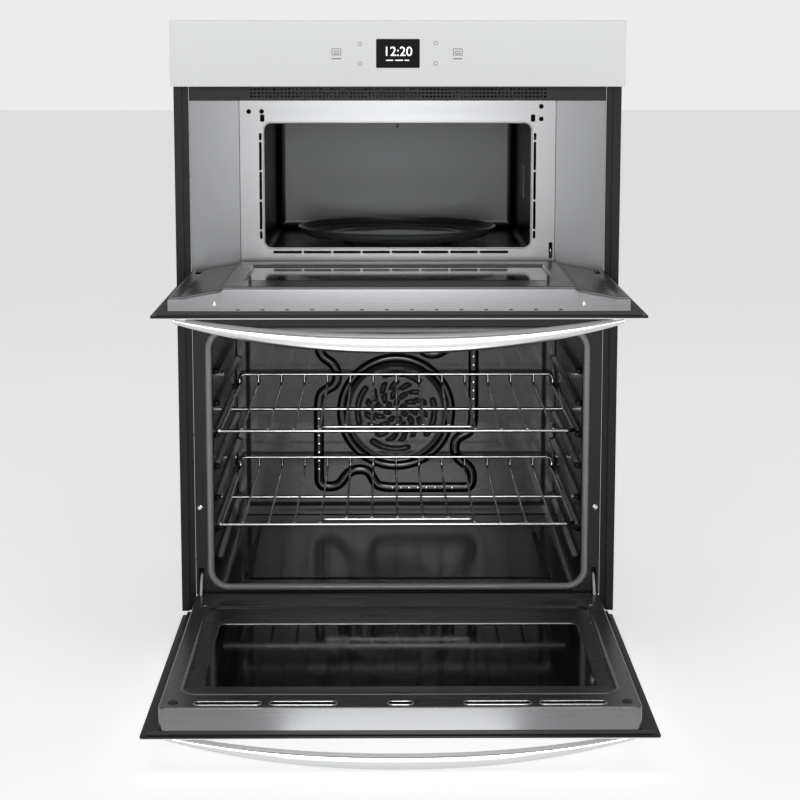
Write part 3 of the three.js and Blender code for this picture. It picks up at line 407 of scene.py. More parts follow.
def joined(*shapes):
    """Several shapes as one."""
    points, faces, count = [], [], 0
    for more_points, more_faces in shapes:
        more_points = np.asarray(more_points, float).reshape(-1, 3)
        points.append(more_points)
        faces += [[i + count for i in face] for face in more_faces]
        count += len(more_points)
    return np.concatenate(points), faces


def make(name, shape, material, body, instead_of=(), wall=0.0, flip=False, crease=35, facing=None):
    """One object from a shape: doubles merged, faces turned outwards, rounded where faces meet at less than
    crease degrees. wall gives an open skin its thickness, flip turns a hollow's skin to face inwards, and
    facing turns an open sheet towards a direction."""
    points, faces = shape
    mesh = bpy.data.meshes.new(name)
    mesh.from_pydata(placed(points), [], faces)
    work = bmesh.new()
    work.from_mesh(mesh)
    bmesh.ops.remove_doubles(work, verts=work.verts, dist=1e-6)
    bmesh.ops.recalc_face_normals(work, faces=work.faces)
    away = facing and sum(face.normal.dot(Vector(facing)) * face.calc_area() for face in work.faces) < 0
    if flip or away:
        bmesh.ops.reverse_faces(work, faces=work.faces)
    work.to_mesh(mesh)
    work.free()
    mesh.shade_smooth()
    for polygon in mesh.polygons:
        if polygon.loop_total > 4:
            polygon.use_smooth = False
    mesh.set_sharp_from_angle(angle=math.radians(crease))
    mesh.materials.append(material)
    made = bpy.data.objects.new(name, mesh)
    bpy.context.scene.collection.objects.link(made)
    if wall:
        solid = made.modifiers.new("wall", "SOLIDIFY")
        solid.thickness = wall * MM
        solid.offset = -1
    made.modifiers.new("even_shading", "WEIGHTED_NORMAL").keep_sharp = True
    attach(made, body)
    if instead_of:
        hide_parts(*instead_of)
    return made


def pierced(loops, start, end, edge=0.3):
    """An upright flat sheet between two depths: the first loop of (x, height) points is its outline and the
    others are holes, and its edges are slightly eased."""
    flat = bpy.data.curves.new("sheet_outline", "CURVE")
    flat.dimensions, flat.fill_mode = "2D", "BOTH"
    for loop in loops:
        spline = flat.splines.new("POLY")
        spline.points.add(len(loop) - 1)
        flat_points = np.c_[loop, np.zeros(len(loop)), np.ones(len(loop))]
        spline.points.foreach_set("co", flat_points.astype(np.float32).ravel())
        spline.use_cyclic_u = True
    flat.extrude = (end - start) / 2 - edge
    flat.bevel_depth, flat.bevel_resolution, flat.offset = edge, 1, -edge
    holder = bpy.data.objects.new("sheet_outline", flat)
    bpy.context.scene.collection.objects.link(holder)
    mesh = bpy.data.meshes.new_from_object(holder)
    points = np.empty(len(mesh.vertices) * 3, np.float32)
    mesh.vertices.foreach_get("co", points)
    points = points.reshape(-1, 3)
    faces = [list(polygon.vertices) for polygon in mesh.polygons]
    bpy.data.objects.remove(holder)
    bpy.data.curves.remove(flat)
    bpy.data.meshes.remove(mesh)
    across = (start + end) / 2 + points[:, 2]
    return np.c_[points[:, 0], across, points[:, 1]], faces


def screw_head(x, depth, height, radius=3.2, axis="z", rise=1.6):
    """A low domed screw head, its crown along the axis, or against it where rise is below zero."""
    lean = np.linspace(0, math.pi / 2, 6)
    profile = np.c_[radius * np.cos(lean), rise * np.sin(lean)]
    profile[-1, 0] = 0
    foot = -0.3 * rise
    return turned(np.r_[[[0, foot]], [[radius, foot]], profile], x, depth, height, axis, 20)


# --- control panel ----------------------------------------------------------------------------------------

left, right, front, back, low, high = spans("control_panel_glass")
make("panel_glass", slab(upright, left, right, low, high, front, back, 3, 1.2), white_glass, "chassis",
     ["control_panel_glass"])
shown = spans("display_module")
make("display_window", slab(upright, shown[0], shown[1], shown[4], shown[5], -0.25, 0.3, 2, 0.2),
     display_glass, "chassis")


def lettering(body_text, size, x, height, depth):
    """Plain digits, centred on x and standing on a height."""
    words = bpy.data.curves.new("digits", "FONT")
    words.body, words.size, words.align_x = body_text, size, "CENTER"
    words.extrude = 0.05
    holder = bpy.data.objects.new("digits", words)
    bpy.context.scene.collection.objects.link(holder)
    mesh = bpy.data.meshes.new_from_object(holder)
    points = np.empty(len(mesh.vertices) * 3, np.float32)
    mesh.vertices.foreach_get("co", points)
    points = points.reshape(-1, 3)
    faces = [list(polygon.vertices) for polygon in mesh.polygons]
    bpy.data.objects.remove(holder)
    return np.c_[x + points[:, 0], depth + points[:, 2], height + points[:, 1]], faces


DIGIT_SIZE, DIGIT_FOOT = 22, 1030
CAPTION_FOOT, CAPTION_TOP = 1022, 1023.4
# each plain dash's place from the display's middle, and its length
CAPTION_WORDS = ((-14, 12), (2, 13), (15, 8))
middle_x = (shown[0] + shown[1]) / 2
digits = lettering("12:20", DIGIT_SIZE, middle_x, DIGIT_FOOT, -0.35)
make("clock_digits", digits, lit_digit, "chassis", crease=5)
caption = []
for offset, length in CAPTION_WORDS:
    start = middle_x + offset - length / 2
    caption.append(slab(upright, start, start + length, CAPTION_FOOT, CAPTION_TOP, -0.4, -0.2, 0.4, 0.08))
make("clock_caption", joined(*caption), lit_digit, "chassis")


def ring_mark(x, height, half_width, half_height, corner, line=1.0):
    """A printed outline: a thin frame standing a hair proud of the glass."""
    outer, inner = (
        rounded(x - half_width + i, x + half_width - i, height - half_height + i, height + half_height - i,
                max(corner - i, 0.1), 2, 5)
        for i in (0, line)
    )
    return loft([upright(outer, 0.2), upright(outer, -0.2), upright(inner, -0.2), upright(inner, 0.2)],
                (False, False), True)


OVEN_MARKS = (-102.8, 99.9)  # the two box-shaped marks, left and right of the display
ROUND_MARKS = ((-63.3, 1050), (-63.3, 1017.4), (63.0, 1051), (63.0, 1017.8))
marks = []
for x in OVEN_MARKS:
    marks += [ring_mark(x, 1036.5, 8, 5.6, 1.2), ring_mark(x, 1035.6, 4.6, 2.6, 2.4),
              slab(upright, x - 8, x + 8, 1024.4, 1026.0, -0.2, 0.2, 0.5, 0.04)]
for x, height in ROUND_MARKS:
    marks.append(ring_mark(x, height, 3.4, 3.4, 3.3, 0.8))
make("printed_marks", joined(*marks), panel_ink, "chassis")

# --- vent strip, front plates and fillers -----------------------------------------------------------------

left, right, front, back, low, high = spans("vent_strip")
VENT_HALF, VENT_PITCH, VENT_HOLE, VENT_ROWS, VENT_TALL = 252.5, 6.5, 4.2, (961.4, 967.3, 973.8), 3.2
holes = np.arange(-VENT_HALF + VENT_PITCH / 2, VENT_HALF, VENT_PITCH)


def grating(columns, rows, wide, tall, left, right, low, high, front, back):
    """A sheet on a grid whose lines run along every hole's edges: cells inside a hole are left out of both
    faces, and walls join the faces round each hole and round the sheet."""
    xs = np.unique(np.r_[left, right, columns - wide / 2, columns + wide / 2])
    zs = np.unique(np.r_[low, high, rows - tall / 2, rows + tall / 2])
    mid_x, mid_z = (xs[1:] + xs[:-1]) / 2, (zs[1:] + zs[:-1]) / 2
    open_x = (abs(mid_x[:, None] - columns) < wide / 2).any(1)
    open_z = (abs(mid_z[:, None] - rows) < tall / 2).any(1)
    solid = np.pad(~(open_z[:, None] & open_x[None, :]), 1)
    grid_x, grid_z = np.meshgrid(xs, zs)
    face = np.c_[grid_x.ravel(), np.full(grid_x.size, front), grid_z.ravel()]
    rear = face + [0, back - front, 0]
    count, columns_in = grid_x.size, len(xs)
    row, column = np.nonzero(solid[1:-1, 1:-1])
    a = row * columns_in + column
    cells = np.stack([a, a + 1, a + 1 + columns_in, a + columns_in], 1)
    faces = [*cells.tolist(), *(cells[:, ::-1] + count).tolist()]
    for step_row, step_column, first, second in ((-1, 0, 0, 1), (1, 0, 3, 2), (0, -1, 0, 3), (0, 1, 1, 2)):
        border = ~solid[row + 1 + step_row, column + 1 + step_column]
        edge = cells[border][:, [first, second]]
        faces += np.c_[edge, edge[:, ::-1] + count].tolist()
    return np.r_[face, rear], faces


make("perforated_vent_strip",
     grating(holes, np.array(VENT_ROWS), VENT_HOLE, VENT_TALL, left, right, low, high, front, back),
     black_paint, "chassis", ["vent_strip"])

left, right, front, back, low, high = spans("microwave_front_plate")
OPENING = (-228.3, 228.3, 702.7, 916.3)
outline = rounded(left, right, low, high, 1.5)
opening = rounded(*OPENING, 12, 6, 10)
SLOTS_START, SLOTS_END, SLOT_PITCH, SLOT_GAP = -214, 190, 50.5, 1.8  # the row of slots under the opening
slots = []
for i in range(8):
    start = SLOTS_START + SLOT_PITCH * i + (SLOT_GAP if i else 0)
    end = SLOTS_START + SLOT_PITCH * (i + 1) - SLOT_GAP if i < 7 else SLOTS_END
    slots.append(rounded(start, end, 693.2, 697.2, 1.5))
LATCH_SIDE = 231.0  # middle of a latch hook and of its slot, either side of the middle
SIDE_TABS = (717, 733, 784, 834.7, 885.7, 900.7)  # heights of the tabs between the slots beside the opening
SIDE_SLOTS = 234.7
SCREW_HOLES = {-1: ((254, 936), (232, 936)), 1: ((245, 944.6), (245, 923.4))}
for side in (-1, 1):
    middle = side * SIDE_SLOTS
    for start, end in zip(SIDE_TABS[:-1], SIDE_TABS[1:]):
        slots.append(rounded(middle - 2, middle + 2, start + 1.6, end - 1.6, 1.5))
    slots.append(rounded(side * LATCH_SIDE - 3.5, side * LATCH_SIDE + 3.5, 918.8, 930.6, 1.6))
    for x, height in SCREW_HOLES[side]:
        slots.append(circle(side * x, height, 3.8, 20))
slots.append(rounded(260.2, 266.2, 684, 712, 2.6))  # the latch lever's slot
make("microwave_plate", pierced([outline, opening, *slots], front, back, 0.35), brushed_across, "chassis",
     ["microwave_front_plate"], crease=5)
lip_steps = ((2.2, front + 0.1), (1.6, front - 0.25), (0.3, front - 0.35), (-0.7, front + 0.2),
             (-0.7, back + 0.3))
left, right, low, high = OPENING
lip = [upright(rounded(left - grow, right + grow, low - grow, high + grow, 12 + grow, 6, 10), depth)
       for grow, depth in lip_steps]
make("microwave_opening_rim", loft(lip, (False, False)), brushed_across, "chassis", wall=0.5)
# A black sheet behind the plate: painted shade, so that the slots read deep black.
shadow = [upright(rounded(*span, 10, 6, 8), back + 10)
          for span in ((-262, 268, 675, 950), (-231, 231, 700, 919))]
make("microwave_choke_shadow", loft(shadow, (False, False)), painted_shade_black, "chassis", wall=0.3,
     facing=(0, -1, 0))
lever = slab(upright, 261.6, 264.8, 684.5, 700, front + 0.4, back + 9, 1.2, 0.5)
make("microwave_latch_lever", lever, black_plastic, "chassis")
# A thin bright chrome tip on the black lever: a painted highlight that stands in for the lever's glint.
make("microwave_latch_lever_painted_glint", slab(upright, 261.9, 264.5, 696, 699.5, front + 0.1, front + 0.4, 1, 0.1),
     bright_chrome, "chassis")
for name, side in (("filler_panel_left", -1), ("filler_panel_right", 1)):
    left, right, front, back, low, high = spans(name)
    make(name.replace("panel", "sheet"), slab(upright, left, right, low, high, front, back, 0.8, 0.6),
         brushed_up, "chassis", [name])

# --- microwave cavity -------------------------------------------------------------------------------------

left, right, front, back, low, high = spans("microwave_cavity")
WALL = 1.5
ROOM_CORNER, REAR_ROUND = 12, 18  # radii of the microwave's cavity


def hollow(left, right, low, high, front, back, corner, rear_round, side=24, turns=10, rows=14):
    """Rings of a room from its mouth to its back, whose back edge is rounded by a quarter circle."""
    depths = np.linspace(front, back - rear_round, rows)
    lean = np.linspace(0, math.pi / 2, 7)[1:]
    rings = [(0, depth) for depth in depths]
    rings += [(rear_round * (1 - math.cos(a)), back - rear_round * (1 - math.sin(a))) for a in lean]
    return [upright(rounded(left + i, right - i, low + i, high - i, max(corner - i, 3), side, turns), depth)
            for i, depth in rings]


room = hollow(left + WALL, right - WALL, low + WALL, high - WALL, front, back - WALL, ROOM_CORNER, REAR_ROUND)
make("microwave_room", loft(room, (False, True)), cavity_steel, "chassis",
     ["microwave_cavity"], wall=1.0, flip=True)

clip = slab(upright, -2, 2, high - 14, high - 2, front + 60, front + 72, 1, 0.5)
make("cavity_ceiling_clip", clip, black_plastic, "chassis")

left, right, front, back, low, high = spans("turntable_tray")
TRAY_X, TRAY_Y, TRAY_R = (left + right) / 2, (front + back) / 2, (right - left) / 2
tray = [(0, 0), (60, 0), (TRAY_R - 26, 0), (TRAY_R - 15, 1.2), (TRAY_R - 6, 9), (TRAY_R - 1.6, 15.4),
        (TRAY_R, 17.0), (TRAY_R - 0.8, 17.6), (TRAY_R - 2.6, 17.4), (TRAY_R - 9, 11), (TRAY_R - 17, 5.2),
        (TRAY_R - 27, 4.0), (120, 4.0), (118, 4.8), (114, 4.8), (112, 4.0), (60, 4.0), (58, 4.6), (54, 4.6),
        (52, 4.0), (0, 4.0)]
make("turntable_glass", turned(tray, TRAY_X, TRAY_Y, low, sides=96), clear_glass, "turntable",
     ["turntable_tray"], crease=50)

# --- door glasses -----------------------------------------------------------------------------------------

WHITE_LAYER = 1.5
for prefix, body in (("microwave", "microwave_door"), ("oven", "oven_door")):
    left, right, front, back, low, high = spans(prefix + "_door_glass")
    make(prefix + "_outer_glass", slab(lying, left, right, front, back, low, low + WHITE_LAYER, 4, 0.6),
         white_glass, body, [prefix + "_door_glass"])
    make(prefix + "_glass_border", slab(lying, left, right, front, back, low + WHITE_LAYER, high, 4, 0.8),
         black_backing, body)

# --- oven door liner --------------------------------------------------------------------------------------

OVEN_HINGE = 10.4  # depth of the oven door's pin
left, right, front, back, low, high = spans("oven_door_liner")


def lying_rings(stations, side=10, turns=8):
    """Rings of a pressed sheet that lies open, each given by its insets sideways, near and far, the radius of
    its corners, and its height."""
    return [lying(rounded(left + i, right - i, front + near, back - far, corner, side, turns), height)
            for i, near, far, corner, height in stations]


window_half, window_near, window_far = 298, OVEN_HINGE - 447, OVEN_HINGE - 134
bead_half, bead_near, bead_far = 325, OVEN_HINGE - 491 + 5, OVEN_HINGE - 44 - 5
lean = np.linspace(0, math.pi / 2, 6)
ROLL = 2.6  # radius of the liner's rolled outer edge
stations = [(0, 0, 0, 10, low)]
for a in lean:
    rolled = ROLL * (1 - math.cos(a))
    stations.append((rolled, rolled, rolled, 10 - 0.3 * rolled, high - 1.5 - ROLL * (1 - math.sin(a))))


def inset(half, near, far, corner, height):
    """A station given by its half width and its near and far depths."""
    return (right - half, near - front, back - far, corner, height)


face = high - 1.5
bead = np.linspace(0, math.pi, 7)
stations += [inset(bead_half + 6.5, bead_near - 6.5, bead_far + 6.5, 26, face)]
stations += [inset(bead_half + 5 * math.cos(a), bead_near - 5 * math.cos(a), bead_far + 5 * math.cos(a),
                   22 + 5 * math.cos(a), face + 1.4 * math.sin(a) - (1.4 if a > 2 else 0)) for a in bead]
stations += [inset(window_half + 4, window_near - 4, window_far + 4, 14, face - 2.2),
             inset(window_half + 1, window_near - 1, window_far + 1, 12, face - 2.8),
             inset(window_half, window_near, window_far, 12, face - 4.2)]
make("oven_door_liner_sheet", loft(lying_rings(stations), (False, False)), liner_steel, "oven_door",
     ["oven_door_liner"], wall=0.8)
make("oven_door_window_glass", slab(lying, -window_half - 6, window_half + 6, window_near - 6, window_far + 6,
                                    face - 8.2, face - 4.2, 8, 0.5), black_glass, "oven_door",
     ["oven_door_inner_glass"])
OUTLET_NEAR, OUTLET_FAR = OVEN_HINGE - 534, OVEN_HINGE - 521
OUTLET_SPANS = ((-302, -205), (-191, -94), (-18, 18), (94, 191), (205, 302))
# The air outlets are black slabs on the liner's face: painted shade in place of open slots.
outlets, rims = [], []
for a, b in OUTLET_SPANS:
    outlets.append(slab(lying, a, b, OUTLET_NEAR, OUTLET_FAR, face - 0.5, face + 0.12, 6, 0.1))
    rim = lying(rounded(a - 1, b + 1, OUTLET_NEAR - 1, OUTLET_FAR + 1, 7, 12, 8), face)
    rims.append(sweep(rim, circle(0, 0, 1.1, 8), wrap=True))
make("oven_door_air_outlets", joined(*outlets), painted_shade_black, "oven_door")
make("oven_door_outlet_rims", joined(*rims), handle_metal, "oven_door", crease=60)
corner_screws = [screw_head(x, OVEN_HINGE - 40, face, 4.2, rise=1.3) for x in (-332, 332)]
make("oven_door_corner_screws", joined(*corner_screws), bright_chrome, "oven_door")
bumper = [(0, -0.5), (7.5, -0.5), (7.5, 0.6), (6.8, 1.2), (5.2, 1.4), (4.6, 1.1), (2, 1.3), (0, 1.4)]
bumpers = [turned(bumper, x, OVEN_HINGE - 523, face, sides=28) for x in (-334, 334)]
make("oven_door_corner_bumpers", joined(*bumpers), black_plastic, "oven_door")

# --- microwave door liner ---------------------------------------------------------------------------------

left, right, front, back, low, high = spans("microwave_door_liner")
RAISED, WING_EDGE, CENTRE_HEIGHT, WING_HEIGHT = 272.0, 354.0, 682.0, 667.0
MW_WINDOW = (-246, 246, -244, -25)
# slots that the hinge arms pass through, in the liner's far edge
ARM_SLOT, ARM_SLOT_NEAR = (333.0, 343.0), -32.4


# The liner is a height over x and depth: level in the middle, straight slopes down to the sides, a low rim
# and a sunk field round the window, and a quarter circle down along all four edges.
xs = np.unique(np.r_[np.linspace(left, right, 150), np.linspace(left, left + 8, 9),
                     np.linspace(right - 8, right, 9),
                     [s * v for s in (-1, 1) for v in (246, 243, 240, 272, 268, *ARM_SLOT)]])
ys = np.unique(np.r_[np.linspace(front, back, 80), np.linspace(front, front + 8, 9),
                     np.linspace(back - 6, back, 6), [-244, -241, -238, -25, -28, -31, ARM_SLOT_NEAR]])
grid_x, grid_y = np.meshgrid(xs, ys)
slope = np.clip((abs(grid_x) - RAISED) / (WING_EDGE - RAISED), 0, 1)
wing = 0.25 * smooth_step(abs(grid_x), RAISED - 2, RAISED + 3) + slope
height = CENTRE_HEIGHT - (CENTRE_HEIGHT - WING_HEIGHT) * np.clip(wing, 0, 1)
inside = np.minimum.reduce([246 - abs(grid_x), grid_y - MW_WINDOW[2], MW_WINDOW[3] - grid_y])
height = height + 0.5 * smooth_step(inside, -3, 0) - 3.7 * smooth_step(inside, 2, 7)
from_edge = np.minimum.reduce([grid_x - left, right - grid_x, grid_y - front, back - grid_y])
height = height - 6 * (1 - np.sqrt(np.clip(1 - (1 - np.clip(from_edge / 6, 0, 1)) ** 2, 0, 1)))
top_points = np.stack([grid_x, grid_y, height], -1)
middle_x, middle_y = (xs[1:] + xs[:-1]) / 2, (ys[1:] + ys[:-1]) / 2
in_slot = (abs(middle_x) > ARM_SLOT[0]) & (abs(middle_x) < ARM_SLOT[1])
top_skin = grid_skin(top_points, in_slot[None, :] & (middle_y > ARM_SLOT_NEAR)[:, None])
edge = np.concatenate([top_points[0], top_points[1:, -1], top_points[-1, -2::-1], top_points[-2::-1, 0]])
along_far = (edge[1:, 1] > back - 0.1) & (edge[:-1, 1] > back - 0.1)
across = abs(edge[1:, 0] + edge[:-1, 0]) / 2
skirt = grid_skin(np.stack([edge, edge * [1, 1, 0] + [0, 0, low]]),
                  (along_far & (across > ARM_SLOT[0]) & (across < ARM_SLOT[1]))[None, :])
make("microwave_door_liner_sheet", joined(top_skin, skirt), liner_steel, "microwave_door",
     ["microwave_door_liner"], wall=0.8)
pane = slab(lying, -239, 239, -237, -32, CENTRE_HEIGHT - 3.4, CENTRE_HEIGHT - 2.4, 5, 0.3)
make("microwave_door_window", pane, black_glass, "microwave_door", ["microwave_door_screen"])
# The vent notches are black slabs on the fascia: painted shade in place of open notches.
notches = [slab(upright, x - 3, x + 3, low + 1.2, low + 2.8, front - 0.12, front + 1, 0.7, 0.1)
           for x in (np.arange(14) - 6.5) * 38]
make("microwave_door_vent_notches", joined(*notches), painted_shade_black, "microwave_door")
fascia_screws = [screw_head(x, front + 0.2, 656, 4.0, "y", -1.2) for x in (-283, 283)]
make("microwave_door_fascia_screws", joined(*fascia_screws), bright_chrome, "microwave_door")
HOOK_NEAR, HOOK_FAR, HOOK_REACH = -280.8, -273.6, 12
hooks = [slab(upright, side * LATCH_SIDE - 2, side * LATCH_SIDE + 2, CENTRE_HEIGHT - 2,
              CENTRE_HEIGHT + HOOK_REACH, HOOK_NEAR, HOOK_FAR, 1.5, 0.4)
         for side in (-1, 1)]
make("microwave_latch_hooks", joined(*hooks), black_plastic, "microwave_door")

# --- handles ----------------------------------------------------------------------------------------------


def handle(prefix, inner_reach, outer_reach, body):
    """A bowed bar: from the middle to the ends the distances of its inner and outer faces from the glass fall
    as 1 less the 2.2nd power of the share of the way, and a rounded section fills the room between them."""
    left, right, front, back, low, high = spans(prefix + "_door_handle")
    glass_face = spans(prefix + "_door_glass")[4]
    middle = (front + back) / 2
    t = np.sin(np.linspace(-math.pi / 2, math.pi / 2, 97))
    x = t * right
    bow = 1 - np.abs(t) ** 2.2
    inner = 0.3 + inner_reach * bow
    outer = 10 + (outer_reach - 10) * bow
    outer = np.where(np.abs(t) > 0.985, 10 - 6 * (np.abs(t) - 0.985) / 0.015, outer)
    half = (back - front) / 2
    outline = rounded(-1, 1, -1, 1, 0.97, 2, 9)
    section = np.stack([
        np.broadcast_to(middle + outline[:, 0] * half, (len(t), len(outline))),
        glass_face - ((inner + outer) / 2)[:, None] + outline[:, 1] * ((outer - inner) / 2)[:, None],
    ], -1)
    rings = np.concatenate([np.broadcast_to(x[:, None, None], (len(t), len(outline), 1)), section], -1)
    make(prefix + "_handle_bar", loft(rings), handle_metal, body, [prefix + "_door_handle"])


for door, inner_reach, outer_reach in (("oven", 33.4, 57.7), ("microwave", 26.8, 57.8)):
    handle(door, inner_reach, outer_reach, door + "_door")

# --- oven front: gasket and studs -------------------------------------------------------------------------

left, right, front, back, low, high = spans("oven_gasket")
ROPE = 6.2
mid = (front + back) / 2
rope_path = upright(rounded(left + ROPE + 0.3, right - ROPE - 0.3, low + ROPE + 0.3, high - ROPE - 0.3, 32,
                            120, 30), mid)
turn = np.arange(16) * 2 * math.pi / 16
along = np.arange(len(rope_path))[:, None]
weave = ROPE * (0.95 + 0.05 * np.sin(turn * 4 + along * math.pi / 2) * np.sin(turn * 4 - along * math.pi / 2))
rope = np.stack([weave * np.cos(turn), weave * np.sin(turn)], -1)
make("braided_gasket", sweep(rope_path, rope, (0, 1, 0), wrap=True), woven_glass, "chassis",
     ["oven_gasket"], crease=80)
frame_face = spans("oven_front_frame")[2]
stud = [(0, 0), (5.2, 0), (5.2, -1.2), (4.6, -2.6), (3.0, -3.4), (1.2, -3.2), (0, -2.6)]
make("front_studs", joined(*[turned(stud, x, frame_face + 0.3, 245, "y", 28) for x in (-346.6, 346.6)]),
     bright_chrome, "chassis")

# --- oven cavity ------------------------------------------------------------------------------------------

CAVITY_HALF, CAVITY_FLOOR, CAVITY_ROOF, CAVITY_CORNER = 323.0, 98.0, 560.0, 20.0
LEVELS = 142.3 + 56.8 * np.arange(7)  # heights of the rack levels
GUIDE_REACH, GUIDE_HALF = 9.2, 3.2  # how far a guide stands in from the wall, and half its flat top
cavity_front, cavity_back = spans("oven_cavity")[2], spans("oven_cavity")[3]
around = rounded(-CAVITY_HALF, CAVITY_HALF, CAVITY_FLOOR, CAVITY_ROOF, CAVITY_CORNER, 190, 8)
depths = ruled(cavity_front, cavity_back, 38, [84, 90, 96, 110, 540, 566, 572, 578])
D, X = np.meshgrid(depths, around[:, 0], indexing="ij")
Z = np.broadcast_to(around[:, 1], X.shape)
# The room's skin goes round the mouth's outline at every depth. On the walls it moves inwards in an even S
# about each rack level, from near the front to near the back, and a field is raised on the floor likewise.
on_wall = smooth_step(abs(X), CAVITY_HALF - 1.5, CAVITY_HALF - 0.5)
reach = smooth_step(D, 84, 96) * (1 - smooth_step(D, 566, 578))
nearest = np.min(abs(Z[..., None] - (LEVELS - 3.4)), -1)
rib = GUIDE_REACH * (1 - smooth_step(nearest, GUIDE_HALF, 2 * GUIDE_HALF)) * reach * on_wall
on_floor = smooth_step(-Z, -CAVITY_FLOOR - 1.5, -CAVITY_FLOOR - 0.5)
panel_edge = np.minimum.reduce([270 - abs(X), D - 110, 540 - D])
pressed = 1.6 * smooth_step(panel_edge, -4, 4) * on_floor
skin = np.stack([X - np.sign(X) * rib, D, Z + pressed], -1)
make("oven_room", loft(skin, (False, False)), dark_enamel, "chassis", ["oven_cavity"],
     wall=1.0, flip=True, crease=60)

# --- oven back wall ---------------------------------------------------------------------------------------

left, right, front, back, low, high = spans("oven_fan_cover")
FAN_HEIGHT = 312.5
STEP = 2.1  # spacing of the back wall's grid
xs = np.linspace(left + 1, right - 1, int((right - left) / STEP))
zs = np.linspace(low + 1, high - 1, int((high - low) / STEP))
grid_x, grid_z = np.meshgrid(xs, zs)
from_centre = np.hypot(grid_x, grid_z - FAN_HEIGHT)
angle = np.arctan2(grid_z - FAN_HEIGHT, grid_x)
# The back wall is a depth over x and height: a pressed field, a shallow round dish for the fan, rings of
# slanted slots where a cosine of the angle and the radius is high, and four arcs round them.
dish = 3.0 * (1 - smooth_step(from_centre, 92, 102))
edge = np.minimum.reduce([grid_x + 300, 300 - grid_x, grid_z - 121, 545 - grid_z])
panel = 2.0 * smooth_step(edge, -4, 4)
slot_band = np.zeros_like(angle)
for count, inner, outer in ((7, 13, 23), (11, 28, 42), (15, 47, 62)):
    swirl = np.cos(angle * count + from_centre * 0.11 * count / 7)
    past_inner = smooth_step(from_centre, inner - 1.5, inner + 1.5)
    past_outer = smooth_step(from_centre, outer - 1.5, outer + 1.5)
    slot_band = np.maximum(slot_band, smooth_step(swirl, 0.25, 0.6) * (past_inner - past_outer))
arc = smooth_step(np.cos(angle * 4 + 0.7), -0.55, -0.35) * (1 - smooth_step(abs(from_centre - 78), 3, 4.6))
opened = np.maximum(slot_band, arc)
depth_here = back - 1.0 - panel + dish + 5.0 * opened
depth_here = np.maximum(depth_here, back - 14)
wall_points = np.stack([grid_x, depth_here, grid_z], -1).reshape(-1, 3)
make("fan_cover_sheet", (wall_points, quads(len(zs), len(xs))), wall_enamel, "chassis",
     ["oven_fan_cover"], crease=70)
WALL_FACE = back - 3.0
OUT, IN = 157.0, 118.0  # distances of the winding bead's outer and inner runs from the fan's middle
one_side = np.array([(-OUT + 2, OUT), (16, OUT), (40, OUT - 4), (56, IN + 4), (78, IN), (98, IN + 8),
                     (118, OUT - 2)])
spins = [np.array([[math.cos(a), math.sin(a)], [-math.sin(a), math.cos(a)]])
         for a in -np.arange(4) * math.pi / 2]
snake = np.concatenate([one_side @ spin for spin in spins])


def closed_bends(points, radius, steps=6):
    """A closed path through points whose every corner is rounded by a quadratic curve."""
    points = np.asarray(points, float)
    into, out = np.roll(points, 1, 0) - points, np.roll(points, -1, 0) - points
    into_length, out_length = np.linalg.norm(into, axis=1), np.linalg.norm(out, axis=1)
    reach = np.minimum(radius, 0.48 * np.minimum(into_length, out_length))
    start = (points + into * (reach / into_length)[:, None])[:, None]
    end = (points + out * (reach / out_length)[:, None])[:, None]
    t = np.linspace(0, 1, steps + 1)[None, :, None]
    return ((1 - t) ** 2 * start + 2 * t * (1 - t) * points[:, None] + t**2 * end).reshape(-1, 2)


snake = closed_bends(snake, 16)
hump = np.linspace(0, math.pi, 13)
hump = np.c_[10.5 * np.cos(hump), 8.0 * np.sin(hump) ** 0.7]
hump = np.r_[hump, [[-10.5, -2], [10.5, -2]]]
snake_path = np.c_[snake[:, 0], np.full(len(snake), WALL_FACE), snake[:, 1] + FAN_HEIGHT]
# Both beads are coloured near-black: painted shade and painted dark reflection, darker than the wall's enamel.
make("fan_cover_winding_bead", sweep(snake_path, hump, (0, -1, 0), wrap=True), bead_painted_shade_enamel, "chassis",
     crease=50)
RING_RADIUS = 111
ring_path = upright(circle(0, FAN_HEIGHT, RING_RADIUS, 120), WALL_FACE + 0.4)
make("fan_cover_ring_bead", sweep(ring_path, hump * [0.92, 1.1], (0, -1, 0), wrap=True), bead_painted_shade_enamel,
     "chassis", crease=50)
hole_spots = np.r_[
    [(-OUT, z) for z in np.arange(-118, 10, 17.5)], [(OUT, z) for z in np.arange(-8, 120, 17.5)],
    [(x, -OUT) for x in np.arange(-8, 120, 17.5)], [(x, OUT) for x in np.arange(-118, 10, 17.5)],
]
EYELET = ((0, 0), (2.9, 0), (2.9, -0.5), (2.0, -0.9), (0, -0.9))
dots = [turned(EYELET, x, WALL_FACE - 7.8, z + FAN_HEIGHT, "y", 10) for x, z in hole_spots]
make("bead_hole_eyelets", joined(*dots), bright_chrome, "chassis")

# --- racks ------------------------------------------------------------------------------------------------

RAIL_RADIUS, WIRE_RADIUS = 3.2, 2.3
WIRE_COUNT, WIRE_PITCH = 13, 46.2
# distances from the front rail, and half the grab bar's length
MIDDLE_RAIL, GRAB_SET_BACK, GRAB_HALF = 222, 40, 139


